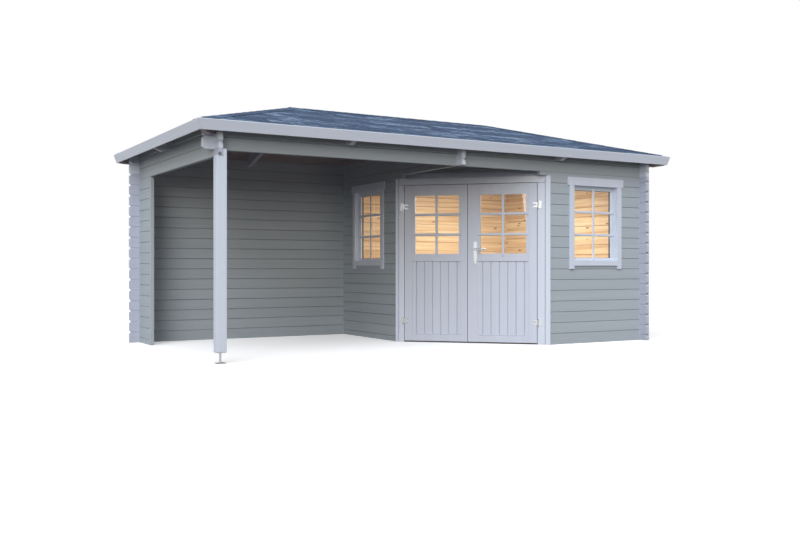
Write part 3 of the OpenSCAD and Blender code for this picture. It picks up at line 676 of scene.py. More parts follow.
def woodRough(tree, grain, low, high):
    return rangeNode(tree, grain.outputs["Fine"], *woodLook["roughFrom"], low, high)


def dressWood(tree, shader, colour, grain, height, finish):
    rough, bump = woodLook[finish]
    dressShader(tree, shader, colour, woodRough(tree, grain, *rough), height, bump)


def startBoards(name, turn, pitch, axis="Z", shift=0.0, share=woodLook["jointShare"]):
    # a material with its coordinates, and the tone and the joints of its boards
    material, tree, shader = newMaterial(name)
    place, along = turnedPlace(tree, turn)
    courses = useGroup(tree, courseGroup, {"Place": splitVector(tree, place)[axis]},
                       {"Pitch": pitch, "Shift": shift, "Width": share})
    return material, tree, shader, place, along, courses.outputs


def makeLogPaint(name, turn, shift):
    # grey paint outside, bare pine in the cabin, and pale paint on the standing-out ends, with
    # painted shade in the joints and on the wall tops, and painted light on the beams' ends
    material, tree, shader, place, along, board = startBoards(
        name, turn, shed["course"], shift=shift, share=woodLook["logJointShare"])
    colour, height, grain = paintedWood(tree, along, paints["log"], paints["logDark"])
    colour = darken(tree, colour, board["Tone"], woodLook["logTone"], paints["logDark"])
    # painted shade: darker along the joints between the logs
    colour = darken(tree, colour, board["Joint"], woodLook["logJointShade"], paints["joint"])
    pale, _, _ = paintedWood(tree, along, paints["logEnd"], paints["logEndDark"])
    where = splitVector(tree, place)
    # painted light: the log ends on the beams get the brighter trim paint against the roof's
    # shade
    beamEndsLit = mathNode(tree, "GREATER_THAN", where["Z"], shed["beamUnder"])
    pale = mixColours(tree, beamEndsLit, pale, paints["trim"])
    past = [mathNode(tree, "GREATER_THAN", mathNode(tree, "ABSOLUTE", where[axis]),
                     shed[half] + woodLook["endFrom"])
            for axis, half in (("X", "halfWidth"), ("Y", "halfDepth"))]
    colour = mixColours(tree, mathNode(tree, "MAXIMUM", *past), colour, pale)
    # painted shade: log tops over the whole courses take the shaded soffit paint
    overTop = mathNode(tree, "GREATER_THAN", where["Z"], shed["topCourse"])
    colour = mixColours(tree, overTop, colour, paints["shadedSoffit"])
    pine, _ = barePine(tree, along, board["Tone"], board["Joint"])
    colour = bareInside(tree, place, colour, pine)
    dressWood(tree, shader, colour, grain, height, "logFinish")
    return material


def makeTrimPaint(name, turn, base="trim", dark="trimDark"):
    material, tree, shader = newMaterial(name)
    _, along = turnedPlace(tree, turn)
    colour, height, grain = paintedWood(tree, along, paints[base], paints[dark])
    dressWood(tree, shader, colour, grain, height, "trimFinish")
    return material


def makePine(name, turn, pitch, axis="Z", shift=0.0):
    # bare pine, with knots and a tone of its own for each board
    material, tree, shader, _, along, board = startBoards(name, turn, pitch, axis, shift)
    colour, grain = barePine(tree, along, board["Tone"], board["Joint"])
    dressWood(tree, shader, colour, grain, grain.outputs["Fine"], "pineFinish")
    return material


def makeRoofTimber(name, turn, axis, base="door", dark="doorDark"):
    # bare pine over the cabin; over the terrace and under the eaves darker copies of the trim
    # paint, painted shade
    material, tree, shader, place, along, board = startBoards(
        name, turn, shed["boardPitch"], axis)
    pine, grain = barePine(tree, along, board["Tone"], 0.0)
    painted, height, _ = paintedWood(tree, along, paints[base], paints[dark])
    dressWood(tree, shader, bareInside(tree, place, painted, pine), grain, height, "roofFinish")
    return material


shingleLook = {
    "stretch": (1.0, 2.6, 2.6),         # streaks run along the courses
    "streaks": (5.5, 7.0, 0.66),        # scale, detail and roughness of a noise
    "flecks": (34.0, 3.0, 0.6),
    "granules": (420.0, 2.0, 0.7),
    "specks": 260.0,
    "tabShare": 0.20,                   # how much a tab's tone counts in the streaks
    "sheen": (0.61, 0.75, 0.0, 0.9),
    "fleckEdge": (0.42, 0.60),
    "fleckShare": (0.0, 1.0, 0.45, 1.0),
    "fleckSheen": 0.10,
    "granuleShare": (0.42, 0.62, 0.6, 1.0),
    "dots": (0.1, 0.35, 0.16, 0.0),
    "rough": 0.88,
    "specular": 0.2,
    "bump": (0.5, 0.0012),
}


def makeShingles(name, turn):
    # mineral granules, paler streaks along the courses, and a tone for each tab
    look = shingleLook
    material, tree, shader = newMaterial(name)
    place, along = turnedPlace(tree, turn)
    drawn = addNode(tree, "ShaderNodeMapping", None, {"Scale": look["stretch"]})
    tree.links.new(along, drawn.inputs["Vector"])
    streaks = noiseNode(tree, drawn.outputs[0], *look["streaks"])
    granules = noiseNode(tree, place, *look["granules"])
    specks = addNode(tree, "ShaderNodeTexVoronoi", None, {"Scale": look["specks"]})
    tree.links.new(place, specks.inputs["Vector"])
    tone = addNode(tree, "ShaderNodeAttribute", {"attribute_name": "tabTone"}).outputs["Fac"]
    base = mixColours(tree, tone, paints["shingleDark"], paints["shingleMid"])
    blend = mathNode(tree, "ADD", streaks, mathNode(tree, "MULTIPLY", tone, look["tabShare"]))
    sheen = rangeNode(tree, blend, *look["sheen"])
    flecks = rangeNode(tree, noiseNode(tree, place, *look["flecks"]), *look["fleckEdge"])
    sheen = mathNode(tree, "MULTIPLY", sheen, rangeNode(tree, flecks, *look["fleckShare"]))
    sheen = mathNode(tree, "MAXIMUM", sheen,
                     mathNode(tree, "MULTIPLY", flecks, look["fleckSheen"]))
    sheen = mathNode(tree, "MULTIPLY", sheen, rangeNode(tree, granules, *look["granuleShare"]))
    colour = mixColours(tree, sheen, base, paints["shinglePale"])
    dots = rangeNode(tree, specks.outputs["Distance"], *look["dots"])
    colour = mixColours(tree, dots, colour, paints["shinglePale"])
    shader.inputs["Specular IOR Level"].default_value = look["specular"]
    dressShader(tree, shader, colour, look["rough"], granules, look["bump"])
    return material


metals = {
    # colour and roughness
    "satinSteel": ((0.40, 0.41, 0.43), 0.30),
    "screwSteel": ((0.42, 0.43, 0.45), 0.38),
    "boltSteel": ((0.17, 0.175, 0.18), 0.5),
    "slotShade": ((0.02, 0.02, 0.02), 0.6),
}
steelLook = {
    "fibre": {"Fibre": 700.0, "Stretch": 0.02},
    "shade": (0.3, 0.7, 0.0, 0.35),
    "dark": 0.72,
    "lessRough": 0.06,
    "moreRough": 0.1,
    "bump": (0.08, 0.0004),
}


def makeSteel(name):
    look = steelLook
    colour, roughness = metals[name]
    material, tree, shader = newMaterial(name)
    _, along = turnedPlace(tree, alongZ)
    grain = useGroup(tree, grainGroup, {"Vector": along}, look["fibre"])
    shade = mixColours(tree, rangeNode(tree, grain.outputs["Fine"], *look["shade"]),
                       colour, [part * look["dark"] for part in colour])
    shader.inputs["Metallic"].default_value = 1.0
    rough = woodRough(tree, grain, roughness - look["lessRough"], roughness + look["moreRough"])
    dressShader(tree, shader, shade, rough, grain.outputs["Fine"], look["bump"])
    return material


rubberLook = {
    "bloom": (60.0, 4.0),
    "shade": (0.4, 0.7),
    "rough": (0.3, 0.7, 0.62, 0.8),
    "bump": (0.2, 0.0005),
}


def makeRubber(name):
    # black rubber with a faint bloom
    look = rubberLook
    material, tree, shader = newMaterial(name)
    bloom = noiseNode(tree, objectPlace(tree), *look["bloom"])
    shade = mixColours(tree, rangeNode(tree, bloom, *look["shade"]), paints["rubber"],
                       paints["rubberBloom"])
    dressShader(tree, shader, shade, rangeNode(tree, bloom, *look["rough"]), bloom, look["bump"])
    return material


glassLook = {
    "ripple": (3.0, 1.0),
    "rough": (0.3, 0.7, 0.0, 0.012),
    "bends": 1.45,
}


def makeGlass(name):
    # clear, with the faintest waves in it
    material, tree, shader = newMaterial(name)
    ripple = noiseNode(tree, objectPlace(tree), *glassLook["ripple"])
    tree.links.new(rangeNode(tree, ripple, *glassLook["rough"]), shader.inputs["Roughness"])
    shader.inputs["Base Color"].default_value = paints["glass"]
    shader.inputs["IOR"].default_value = glassLook["bends"]
    shader.inputs["Transmission Weight"].default_value = 1.0
    return material


# the last value shifts the joints, in logs
logX = makeLogPaint("logPaintX", alongX, 0.0)
logY = makeLogPaint("logPaintY", alongY, 0.5)
logDoor = makeLogPaint("logPaintDoor", alongDoor, 0.5)
trimX = makeTrimPaint("trimPaintX", alongX)
trimY = makeTrimPaint("trimPaintY", alongY)
trimZ = makeTrimPaint("trimPaintZ", alongZ)
trimDoor = makeTrimPaint("trimPaintDoor", alongDoor)
# painted shade: the doors take the darker copy of the trim paint
doorPaint = makeTrimPaint("doorPaint", alongZ, "door", "doorDark")
wallEnd = makeTrimPaint("wallEndPaint", alongZ, "log", "logDark")
# painted shade: the threshold is painted near black
shadedSillPaint = makeTrimPaint("shadedSillPaint", alongDoor, "shadedSill", "shadedSillDark")
roofX = makeRoofTimber("roofTimberX", alongX, "Y")
roofY = makeRoofTimber("roofTimberY", alongY, "X")
# painted shade: the roof boards and hip rafters take the shaded soffit paint
shadedDeckX = makeRoofTimber("shadedRoofDeckX", alongX, "Y", "shadedSoffit", "shadedSoffitDark")
shadedDeckY = makeRoofTimber("shadedRoofDeckY", alongY, "X", "shadedSoffit", "shadedSoffitDark")
pineX = makePine("pineX", alongX, woodLook["bearerPitch"])
floorPine = makePine("floorPine", alongY, shed["floorPitch"], "X", woodLook["floorShift"])
shinglesX = makeShingles("shinglesX", alongX)
shinglesY = makeShingles("shinglesY", alongY)
steel = makeSteel("satinSteel")
darkSteel = makeSteel("screwSteel")
dullSteel = makeSteel("boltSteel")
keySlotShade = makeSteel("slotShade")
rubber = makeRubber("sealRubber")
clearGlass = makeGlass("paneGlass")
print("materials made")


# CAD pieces keep their shape and get their finish
cadFinish = (
    (logX, "back_wall front_wall front_beam"),
    (logY, "right_wall left_wall left_beam cabin_left_wall cabin_left_beam"),
    (logDoor, "door_header"),
    (trimZ, "post corner_boards door_jamb_left door_jamb_right"),
    (trimZ, "front_window_frame front_window_sash front_window_casing"),
    (trimZ, "side_window_frame side_window_sash side_window_casing"),
    # the doors' darker paint is painted shade
    (doorPaint, "door_left_leaf door_right_leaf door_left_panel door_right_panel"),
    (wallEnd, "left_wall_end_board"),
    (trimX, "fascia_long"),
    (trimY, "fascia_ends"),
    (trimDoor, "door_trim_board door_head"),
    (pineX, "floor_bearers floor_boards"),
    # the threshold's near-black colour is painted shade
    (shadedSillPaint, "door_threshold"),
    (roofX, "ridge_beam side_rafters"),
    (roofY, "common_rafters"),
    # painted shade on the roof boards' undersides and the hip rafters
    (shadedDeckX, "roof_boards_front roof_boards_back"),
    (shadedDeckY, "roof_boards_ends hip_rafters"),
    (shinglesX, "roof_covering roof_caps"),
    (steel, "post_foot frame_hinges door_left_hinges door_right_hinges"),
    (steel, "door_lock_plates door_handle"),
    (clearGlass, "front_window_glass side_window_glass door_left_glass door_right_glass"),
)
for material, names in cadFinish:
    for name in names.split():
        mesh = nodes[name].data
        mesh.materials.clear()
        mesh.materials.append(material)
print("CAD pieces finished")

softPieces = {
    "post": (0.004, trimZ),
    "left_wall_end_board": (0.003, wallEnd),
    "corner_boards": (0.003, trimZ),
    "door_jamb_left": (0.002, trimZ),
    "door_jamb_right": (0.002, trimZ),
    "door_head": (0.002, trimDoor),
    "door_trim_board": (0.003, trimDoor),
    "fascia_long": (0.003, trimX),
    "fascia_ends": (0.003, trimY),
}
jambDrop = 0.003        # leaves an open joint under the head


def lowerTop(piece, drop):
    top = max(vertex.co.z for vertex in piece.data.vertices)
    pickFaces(piece, lambda middle, normal: normal.z > facing and middle.z > top - near)
    startEdit(piece)
    bpy.ops.transform.translate(value=(0, 0, -drop))
    endEdit()


def softenPieces():
    # the same boards with their edges broken, as planed timber has them
    for node, (width, material) in softPieces.items():
        piece = mergedCopy(node, node + "_soft")
        if node.startswith("door_jamb"):
            lowerTop(piece, jambDrop)
        roundEdges(piece, width)
        finishPiece(piece, "root", material, [node])


softenPieces()
print("boards softened")

beamEnd = {
    "reach": -2.59,         # only edges farther out are cut
    "cut": 0.024,
}


def cutBeamEnd():
    # the lowest log's outer corner, cut back like the log ends above it
    beam = mergedCopy("front_beam", "front_beam_cut")
    chamferEdges(beam, lambda middle, way: (middle.x < beamEnd["reach"] and abs(way.y) > facing
                                            and middle.z < shed["beamUnder"]), beamEnd["cut"])
    finishPiece(beam, "root", logX, ["front_beam"])


cutBeamEnd()

boltLook = {
    "place": (-2.4830, -1.3652, 1.7820),
    "washerR": 0.0146,
    "washerT": 0.0022,
    "washerSides": 40,
    "rim": 0.0012,
    "slope": (0.002, 0.0004),       # how wide and how deep
    "headR": 0.0098,
    "headT": 0.0064,
    "headSides": 6,
    "headFrom": 0.6,                # share of the washer's thickness
    "soft": 0.0008,
}


def addRound(name, radius, height, sides, base=0.0):
    # a short round or six-sided bar standing on z = base
    bpy.ops.mesh.primitive_cylinder_add(vertices=sides, radius=radius, depth=height,
                                        location=(0, 0, base + height / 2))
    piece = bpy.context.object
    piece.name = name
    settlePlace(piece)
    return piece


def insetTop(piece, steps):
    # each step goes in and then up or down from the face on top
    pickFaces(piece, lambda middle, normal: normal.z > facing)
    startEdit(piece)
    for inwards, up in steps:
        bpy.ops.mesh.inset(thickness=inwards, depth=up)
    endEdit()


def makeBolt():
    look = boltLook
    washer = addRound("washer", look["washerR"], look["washerT"], look["washerSides"])
    wide, deep = look["slope"]
    insetTop(washer, ((look["rim"], 0.0), (wide, -deep)))
    head = addRound("boltHead", look["headR"], look["headT"], look["headSides"],
                    look["washerT"] * look["headFrom"])
    roundEdges(head, look["soft"])
    bolt = joinPieces([washer, head], "post_bolt")
    bolt.data.transform(Matrix.Translation(look["place"])
                        @ Matrix.Rotation(quarter, 4, "X"))
    finishPiece(bolt, "root", dullSteel)


makeBolt()
print("beam end cut, bolt set")

screwLook = {
    "headR": 0.0036,
    "headT": 0.0011,
    "sides": 16,
    "rim": (0.0005, 0.0003),        # how wide and how high
    "wall": 0.0002,
    "recessR": 0.0017,
    "recess": 0.0008,
    "hingeHeights": (0.232, 1.478),
    "jambRows": (-0.020, 0.0, 0.020),
    "jambPlaces": (0.071, 1.578),
    "armRows": (-0.0192, 0.0192),
    "armPlaces": {"left": (0.113, 0.133), "right": (1.516, 1.536)},
    "hingeFace": -0.0213,
    "plateX": 0.8865,
    "plateRows": (1.078, 0.861),
    "plateFace": -0.026,
}


def makeScrew():
    # a flat head with its hollow towards +z
    look = screwLook
    screw = addRound("screw", look["headR"], look["headT"], look["sides"])
    wide, high = look["rim"]
    insetTop(screw, ((wide, high), (look["headR"] - look["recessR"] - wide, 0.0),
                     (look["wall"], -look["recess"])))
    return screw


def driveScrews(screw, places, body, name):
    # copies of one screw over the slanted wall, each facing out
    turned = Matrix.Rotation(quarter, 4, "X")
    screws = [copyPiece(screw, Matrix.Translation(place) @ turned) for place in places]
    laid = joinPieces(screws, name)
    toDoorWall(laid)
    finishPiece(laid, body, darkSteel)


def setScrews():
    look = screwLook
    screw = makeScrew()
    y = look["hingeFace"]
    jamb = [(x, y, z + row) for x in look["jambPlaces"] for z in look["hingeHeights"]
            for row in look["jambRows"]]
    driveScrews(screw, jamb, "root", "jamb_screws")
    for hand in ("left", "right"):
        arms = [(x, y, z + row) for x in look["armPlaces"][hand]
                for z in look["hingeHeights"] for row in look["armRows"]]
        if hand == "right":
            arms += [(look["plateX"], look["plateFace"], z) for z in look["plateRows"]]
        driveScrews(screw, arms, "door_" + hand, hand + "_door_screws")
    bpy.data.objects.remove(screw)


setScrews()

cylinderLook = {
    "height": 0.938,
    "radius": 0.0088,
    "out": 0.0022,
    "sides": 40,
    "soft": 0.0005,
    "slotW": 0.0016,
    "slotH": 0.0086,
    "slotT": 0.0004,
}


def makeKeyCylinder():
    # the lock's cylinder under the lever, with the slot for its key
    look = cylinderLook
    core = addRound("cylinder", look["radius"], look["out"], look["sides"])
    roundEdges(core, look["soft"])
    x, y, z = screwLook["plateX"], screwLook["plateFace"], look["height"]
    core.data.transform(Matrix.Translation((x, y, z)) @ Matrix.Rotation(quarter, 4, "X"))
    toDoorWall(core)
    finishPiece(core, "door_right", steel)
    # the key's slot is a thin near-black block, painted shade for the hole
    face = y - look["out"]
    halfW, halfH = look["slotW"] / 2, look["slotH"] / 2
    slot = addBlock("key_slot", (x - halfW, face - look["slotT"], z - halfH),
                    (x + halfW, face + look["slotT"], z + halfH))
    toDoorWall(slot)
    finishPiece(slot, "door_right", keySlotShade)


makeKeyCylinder()
print("screws and lock cylinder set")


# roof: boards, shingle courses and caps
def slopeHalves(side):
    # half the length of the eave, and its distance from the middle
    halves = (shed["halfWidth"], shed["halfDepth"])
    return halves if side in ("front", "back") else halves[::-1]


def toSlope(piece, side):
    # from flat, x along the eave and y up the slope, to one side of the roof
    turns = {"front": 0, "right": quarter, "back": 2 * quarter, "left": -quarter}
    reach = shed["halfWidth"] - shed["halfDepth"]
    shift = {"front": 0, "back": 0, "right": reach, "left": -reach}[side]
    place = (Matrix.Translation((shift, 0, 0)) @ Matrix.Rotation(turns[side], 4, "Z")
             @ Matrix.Translation((0, -shed["halfDepth"], shed["underZ"]))
             @ Matrix.Rotation(shed["pitch"], 4, "X"))
    piece.data.transform(place)
    piece.data.update()
    # the hips on both sides, and the ridge line over a long slope
    outwards = Vector((0, -1, 0))
    outwards.rotate(Matrix.Rotation(turns[side], 3, "Z"))
    sideways = Vector((-outwards.y, outwards.x, 0))
    halfLength, halfAcross = slopeHalves(side)
    for hand in (-1, 1):
        corner = sideways * halfLength * hand + outwards * halfAcross
        normal = (sideways * hand - outwards).normalized()
        cutAway(piece, corner, normal)
    if side in ("front", "back"):
        cutAway(piece, Vector((0, 0, 0)), -outwards)


slopeLength = shed["halfDepth"] / math.cos(shed["pitch"])
sides = ("front", "back", "left", "right")

roofBoards = {
    "cover": 0.094,
    "gap": 0.0006,
    "chamfer": 0.004,
    "past": 0.3,            # past the walls, before the hips cut them
    "nodes": {"front": ["roof_boards_front"], "back": ["roof_boards_back"]},
}


def makeRoofBoards(side):
    look = roofBoards
    halfLength = slopeHalves(side)[0] + look["past"]
    board = addBlock("board", (-halfLength, 0, 0),
                     (halfLength, look["cover"] - look["gap"], shed["boardT"]))
    chamferEdges(board, lambda middle, way: abs(way.x) > facing and middle.z < near,
                 look["chamfer"])
    count = math.ceil((slopeLength + shed["eaveU"]) / look["cover"])
    boards = [board]
    for row in range(1, count):
        boards.append(copyPiece(board, Matrix.Translation((0, row * look["cover"], 0))))
    sheet = joinPieces(boards, "roof_boards_" + side + "_laid")
    sheet.data.transform(Matrix.Translation((0, -shed["eaveU"], 0)))
    toSlope(sheet, side)
    return sheet


endBoards = []
for side in sides:
    laid = makeRoofBoards(side)
    if side in ("front", "back"):
        finishPiece(laid, "root", shadedDeckX, roofBoards["nodes"][side])
    else:
        endBoards.append(laid)
endBoards = joinPieces(endBoards, "roof_boards_ends_laid")
finishPiece(endBoards, "root", shadedDeckY, ["roof_boards_ends"])
print("roof boards laid")

shingles = {
    "tab": 0.333,           # width of a tab with its slot
    "slot": 0.007,
    "exposure": 0.145,
    "length": 0.189,
    "layers": 2.32,         # the covering's thickness in tabs
    "bevelFrom": 0.9,       # above and before this share of the tab
    "bevel": 0.3,           # share of the tab's thickness
    "felt": 0.0006,         # sheet under the tabs
    "past": 0.25,           # past the walls, before the hips cut them
    "farther": 0.1,
    "overRidge": 0.002,
    "seed": 7,
}
shingles["layer"] = shed["shingleT"] / shingles["layers"]
shingles["tilt"] = shingles["layer"] / shingles["exposure"]


def setTone(piece, tone):
    layer = piece.data.attributes.get("tabTone")
    if layer is None:
        layer = piece.data.attributes.new("tabTone", "FLOAT", "POINT")
    layer.data.foreach_set("value", [tone] * len(piece.data.vertices))


def makeTab():
    look = shingles
    width = look["tab"] - look["slot"]
    tab = addBlock("tab", (-width / 2, 0, 0), (width / 2, look["length"], look["layer"]))
    chamferEdges(tab, lambda middle, way: (middle.z > look["layer"] * look["bevelFrom"]
                                           and middle.y < look["length"] * look["bevelFrom"]),
                 look["layer"] * look["bevel"])
    lift = look["tilt"] * look["length"]
    tab.data.transform(Matrix.Translation((0, 0, lift)) @ Matrix.Rotation(-look["tilt"], 4, "X"))
    return tab


def layShingles(side, tab, draw):
    look = shingles
    halfLength = slopeHalves(side)[0] + look["past"]
    rows = math.ceil((slopeLength + shed["eaveU"]) / look["exposure"])
    tabs = []
    for row in range(rows):
        y = row * look["exposure"] - shed["eaveU"]
        inwards = max(0, y) * math.cos(shed["pitch"])
        reach = halfLength - inwards + look["farther"]
        shift = (0, 0.5)[row % 2] * look["tab"]
        first = math.floor(-reach / look["tab"])
        for step in range(first, -first + 1):
            x = step * look["tab"] + shift
            tabs.append(copyPiece(tab, Matrix.Translation((x, y, shed["boardT"]))))
            setTone(tabs[-1], draw.random())
    felt = addBlock("felt", (-halfLength, -shed["eaveU"], shed["boardT"]),
                    (halfLength, slopeLength + look["overRidge"], shed["boardT"] + look["felt"]))
    setTone(felt, 0.0)
    sheet = joinPieces([felt] + tabs, "shingles_" + side)
    toSlope(sheet, side)
    return sheet


draw = random.Random(shingles["seed"])
tab = makeTab()
laid = {side: layShingles(side, tab, draw) for side in sides}
longSides = joinPieces([laid["front"], laid["back"]], "shingles_long")
endSides = joinPieces([laid["left"], laid["right"]], "shingles_ends")
bpy.data.objects.remove(tab)
finishPiece(longSides, "root", shinglesX, ["roof_covering"])
finishPiece(endSides, "root", shinglesY, ["roof_covering"])
print("shingles laid")

caps = {
    "halfWidth": 0.098,
    "exposure": 0.16,
    "length": 0.20,
    "layer": 0.0018,
    "out": 0.15,            # from the walls' corners to the hips' lower ends
    "past": 0.03,           # past the ridge's ends
    "tone": 0.8,            # share of a tab's tone
}
caps["tilt"] = caps["layer"] / caps["exposure"]


def makeCap(fall):
    # a cap shingle folded over its ridge, x along it with the butt at x = 0
    half = caps["halfWidth"]
    cap = addBlock("cap", (0, -half, 0), (caps["length"], half, caps["layer"]))
    startEdit(cap)
    bpy.ops.mesh.select_all(action="SELECT")
    bpy.ops.mesh.bisect(plane_co=(0, 0, 0), plane_no=(0, 1, 0))
    endEdit()
    mesh = cap.data
    clearPicks(mesh)
    bpy.context.scene.tool_settings.mesh_select_mode = (True, False, False)
    for vertex in mesh.vertices:
        vertex.select = abs(vertex.co.y) > half / 2
    startEdit(cap)
    bpy.ops.transform.translate(value=(0, 0, -half * math.tan(fall)))
    endEdit()
    cap.data.transform(Matrix.Rotation(caps["tilt"], 4, "Y"))
    return cap


def layCaps(start, end, fall, draw):
    way = end - start
    along = way.normalized()
    across = Vector((0, 0, 1)).cross(along).normalized()
    up = along.cross(across)
    frameHere = Matrix((along, across, up)).transposed().to_4x4()
    cap = makeCap(fall)
    lift = caps["tilt"] * caps["length"]
    pieces = []
    for step in range(math.ceil(way.length / caps["exposure"])):
        place = start + along * step * caps["exposure"] + up * lift
        pieces.append(copyPiece(cap, Matrix.Translation(place) @ frameHere))
        setTone(pieces[-1], draw.random() * caps["tone"])
    bpy.data.objects.remove(cap)
    run = joinPieces(pieces, "capRun")
    cutAway(run, end, along)
    return run


def layAllCaps(draw):
    reach = shed["halfWidth"] - shed["halfDepth"]
    rise = deckT / math.cos(shed["pitch"])
    topZ = ridgeZ + rise
    cornerZ = shed["underZ"] + rise - caps["out"] * math.tan(shed["pitch"])
    hipFall = math.acos(math.cos(shed["pitch"]) ** 2) / 2
    runs = []
    for x in (-1, 1):
        for y in (-1, 1):
            low = Vector((x * (shed["halfWidth"] + caps["out"]),
                          y * (shed["halfDepth"] + caps["out"]), cornerZ))
            runs.append(layCaps(low, Vector((x * reach, 0, topZ)), hipFall, draw))
    end = reach + caps["past"]
    runs.append(layCaps(Vector((-end, 0, topZ)), Vector((end, 0, topZ)), shed["pitch"], draw))
    return joinPieces(runs, "cap_shingles")


finishPiece(layAllCaps(draw), "root", shinglesX, ["roof_caps"])
print("caps laid")


# cabin floor
floorLay = {
    "gap": 0.001,
    "chamfer": 0.0015,
}


def makeFloor():
    low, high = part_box("floor_boards")
    pitch = shed["floorPitch"]
    board = addBlock("floorBoard", (0, low.y, low.z), (pitch - floorLay["gap"], high.y, high.z))
    chamferEdges(board, lambda middle, way: abs(way.y) > facing and middle.z > high.z - near,
                 floorLay["chamfer"])
    boards = []
    for step in range(math.ceil((high.x - low.x) / pitch)):
        boards.append(copyPiece(board, Matrix.Translation((low.x + step * pitch, 0, 0))))
    bpy.data.objects.remove(board)
    laidFloor = joinPieces(boards, "floor_laid")
    cutAway(laidFloor, Vector((high.x, 0, 0)), Vector((1, 0, 0)))
    cutAway(laidFloor, Vector((shed["roomSlant"], 0, 0)), Vector((-1, -1, 0)).normalized())
    return laidFloor


finishPiece(makeFloor(), "root", floorPine, ["floor_boards"])
print("floor laid")


# doors: framed leaves, boarded panels and glazing bars
doorLook = {
    "low": 0.014,
    "high": 1.712,
    "front": -0.018,
    "back": 0.026,
    "panelFront": -0.008,
    "panelT": 0.016,
    "panelLow": 0.084,
    "panelHigh": 0.881,
    "housed": 0.008,        # how deep panels sit in the leaf's frame
    "groove": 0.0055,
    "footBevel": 0.0135,    # leaves a dark line above the bottom rail
    "boardGap": 0.0020,
    "tongue": (0.004, 0.011, 0.015),    # half its width and its depths in the joint
    "paneLow": 0.963,
    "paneHigh": 1.597,
    "paneIn": 0.025,        # stiles reach in beside the panes
    "soft": 0.0018,
    "barWidth": 0.027,
    "barOut": 0.009,
    "barSide": 0.025,
    "barUp": 0.018,
    "barDown": 0.027,
    "barHeights": (1.170, 1.388),
}
leaves = {
    "left": {
        "ends": (0.103, 0.79999),
        "panel": (0.194, 0.73199),
        "boards": (0.2346, 0.3246, 0.4141, 0.503, 0.592, 0.6857),
    },
    "right": {
        "ends": (0.80499, 1.54798),
        "panel": (0.91899, 1.45698),
        "boards": (0.9656, 1.0555, 1.1454, 1.2353, 1.3251, 1.4150),
    },
}


def makeLeafFrame(hand):
    # two stiles, three rails and the beads beside the pane
    look, leaf = doorLook, leaves[hand]
    (outer, last), (left, right) = leaf["ends"], leaf["panel"]
    front, back, low, high = look["front"], look["back"], look["low"], look["high"]
    blocks = [((outer, front, low), (left, back, high)),
              ((right, front, low), (last, back, high))]
    for bottom, top in ((low, look["panelLow"]), (look["panelHigh"], look["paneLow"]),
                        (look["paneHigh"], high)):
        blocks.append(((left, front, bottom), (right, back, top)))
    for start in (left, right - look["paneIn"]):
        blocks.append(((start, front, look["paneLow"]),
                       (start + look["paneIn"], back, look["paneHigh"])))
    laid = makeBoards(hand + "_leaf_frame", blocks, look["soft"])
    toDoorWall(laid)
    return laid


def makePanel(hand):
    look, leaf = doorLook, leaves[hand]
    low = look["panelLow"] - look["housed"]
    high = look["panelHigh"] + look["housed"]
    front, back = look["panelFront"], look["panelFront"] + look["panelT"]
    edges = [leaf["panel"][0] - look["housed"], *leaf["boards"],
             leaf["panel"][1] + look["housed"]]
    gap = look["boardGap"] / 2
    boards = []
    for left, right in zip(edges, edges[1:]):
        board = addBlock("panelBoard", (left + gap, front, low), (right - gap, back, high))
        chamferEdges(board, lambda middle, way: (abs(way.x) > facing and middle.z < low + near
                                                 and middle.y < back - look["panelT"] / 2),
                     look["footBevel"])
        chamferEdges(board, lambda middle, way: abs(way.z) > facing, look["groove"])
        boards.append(board)
    half, start, end = look["tongue"]
    for joint in leaf["boards"]:
        boards.append(addBlock("tongue", (joint - half, front + start, look["panelLow"]),
                               (joint + half, front + end, look["panelHigh"])))
    panel = joinPieces(boards, hand + "_panel_boards")
    toDoorWall(panel)
    return panel


barLook = {
    "lower": 0.0008,        # how much lower the cross bars' faces are
    "outer": 0.004,         # edges this far out are cut
    "drip": 0.0062,
    "overFoot": 0.008,
    "bevel": 0.003,
}


def makeBars(name, pane, heights, look, front):
    # one upright and the cross bars, planted on the frame with their ends over it
    left, right, low, high = pane
    half = look["barWidth"] / 2
    middle = (left + right) / 2
    face = front - look["barOut"]
    bars = [addBlock("bar", (middle - half, face, low - look["barDown"]),
                     (middle + half, front, high + look["barUp"]))]
    for z in heights:
        bars.append(addBlock("bar", (left - look["barSide"], face + barLook["lower"], z - half),
                             (right + look["barSide"], front, z + half)))
    outer = front - barLook["outer"]
    for bar in bars[1:]:
        foot = min(vertex.co.z for vertex in bar.data.vertices)
        chamferEdges(bar, lambda middle, way: (middle.y < outer and abs(way.x) > facing
                                               and middle.z < foot + near), barLook["drip"])
        chamferEdges(bar, lambda middle, way: (middle.y < outer and middle.z
                                               > foot + barLook["overFoot"]), barLook["bevel"])
    chamferEdges(bars[0], lambda middle, way: middle.y < outer, barLook["bevel"])
    return joinPieces(bars, name)


for hand in ("left", "right"):
    body = "door_" + hand
    finishPiece(makeLeafFrame(hand), body, doorPaint, [body + "_leaf"])
    finishPiece(makePanel(hand), body, doorPaint, [body + "_panel"])
    reach = doorLook["paneIn"]
    pane = (leaves[hand]["panel"][0] + reach, leaves[hand]["panel"][1] - reach,
            doorLook["paneLow"], doorLook["paneHigh"])
    bars = makeBars(hand + "_door_bars", pane, doorLook["barHeights"], doorLook,
                    doorLook["front"])
    toDoorWall(bars)
    finishPiece(bars, body, doorPaint)
print("doors framed, boarded and barred")

sealLook = {
    "jambs": (0.0981, 1.5528),
    "over": 0.012,
    "front": 0.0268,
    "back": 0.0309,
    "low": 0.0475,
    "high": 1.7168,
    "meeting": (0.80004, 0.8033),
    "meetingDepth": (-0.004, 0.010),
    "meetingHeight": (0.018, 1.708),
    "soft": 0.0008,
}


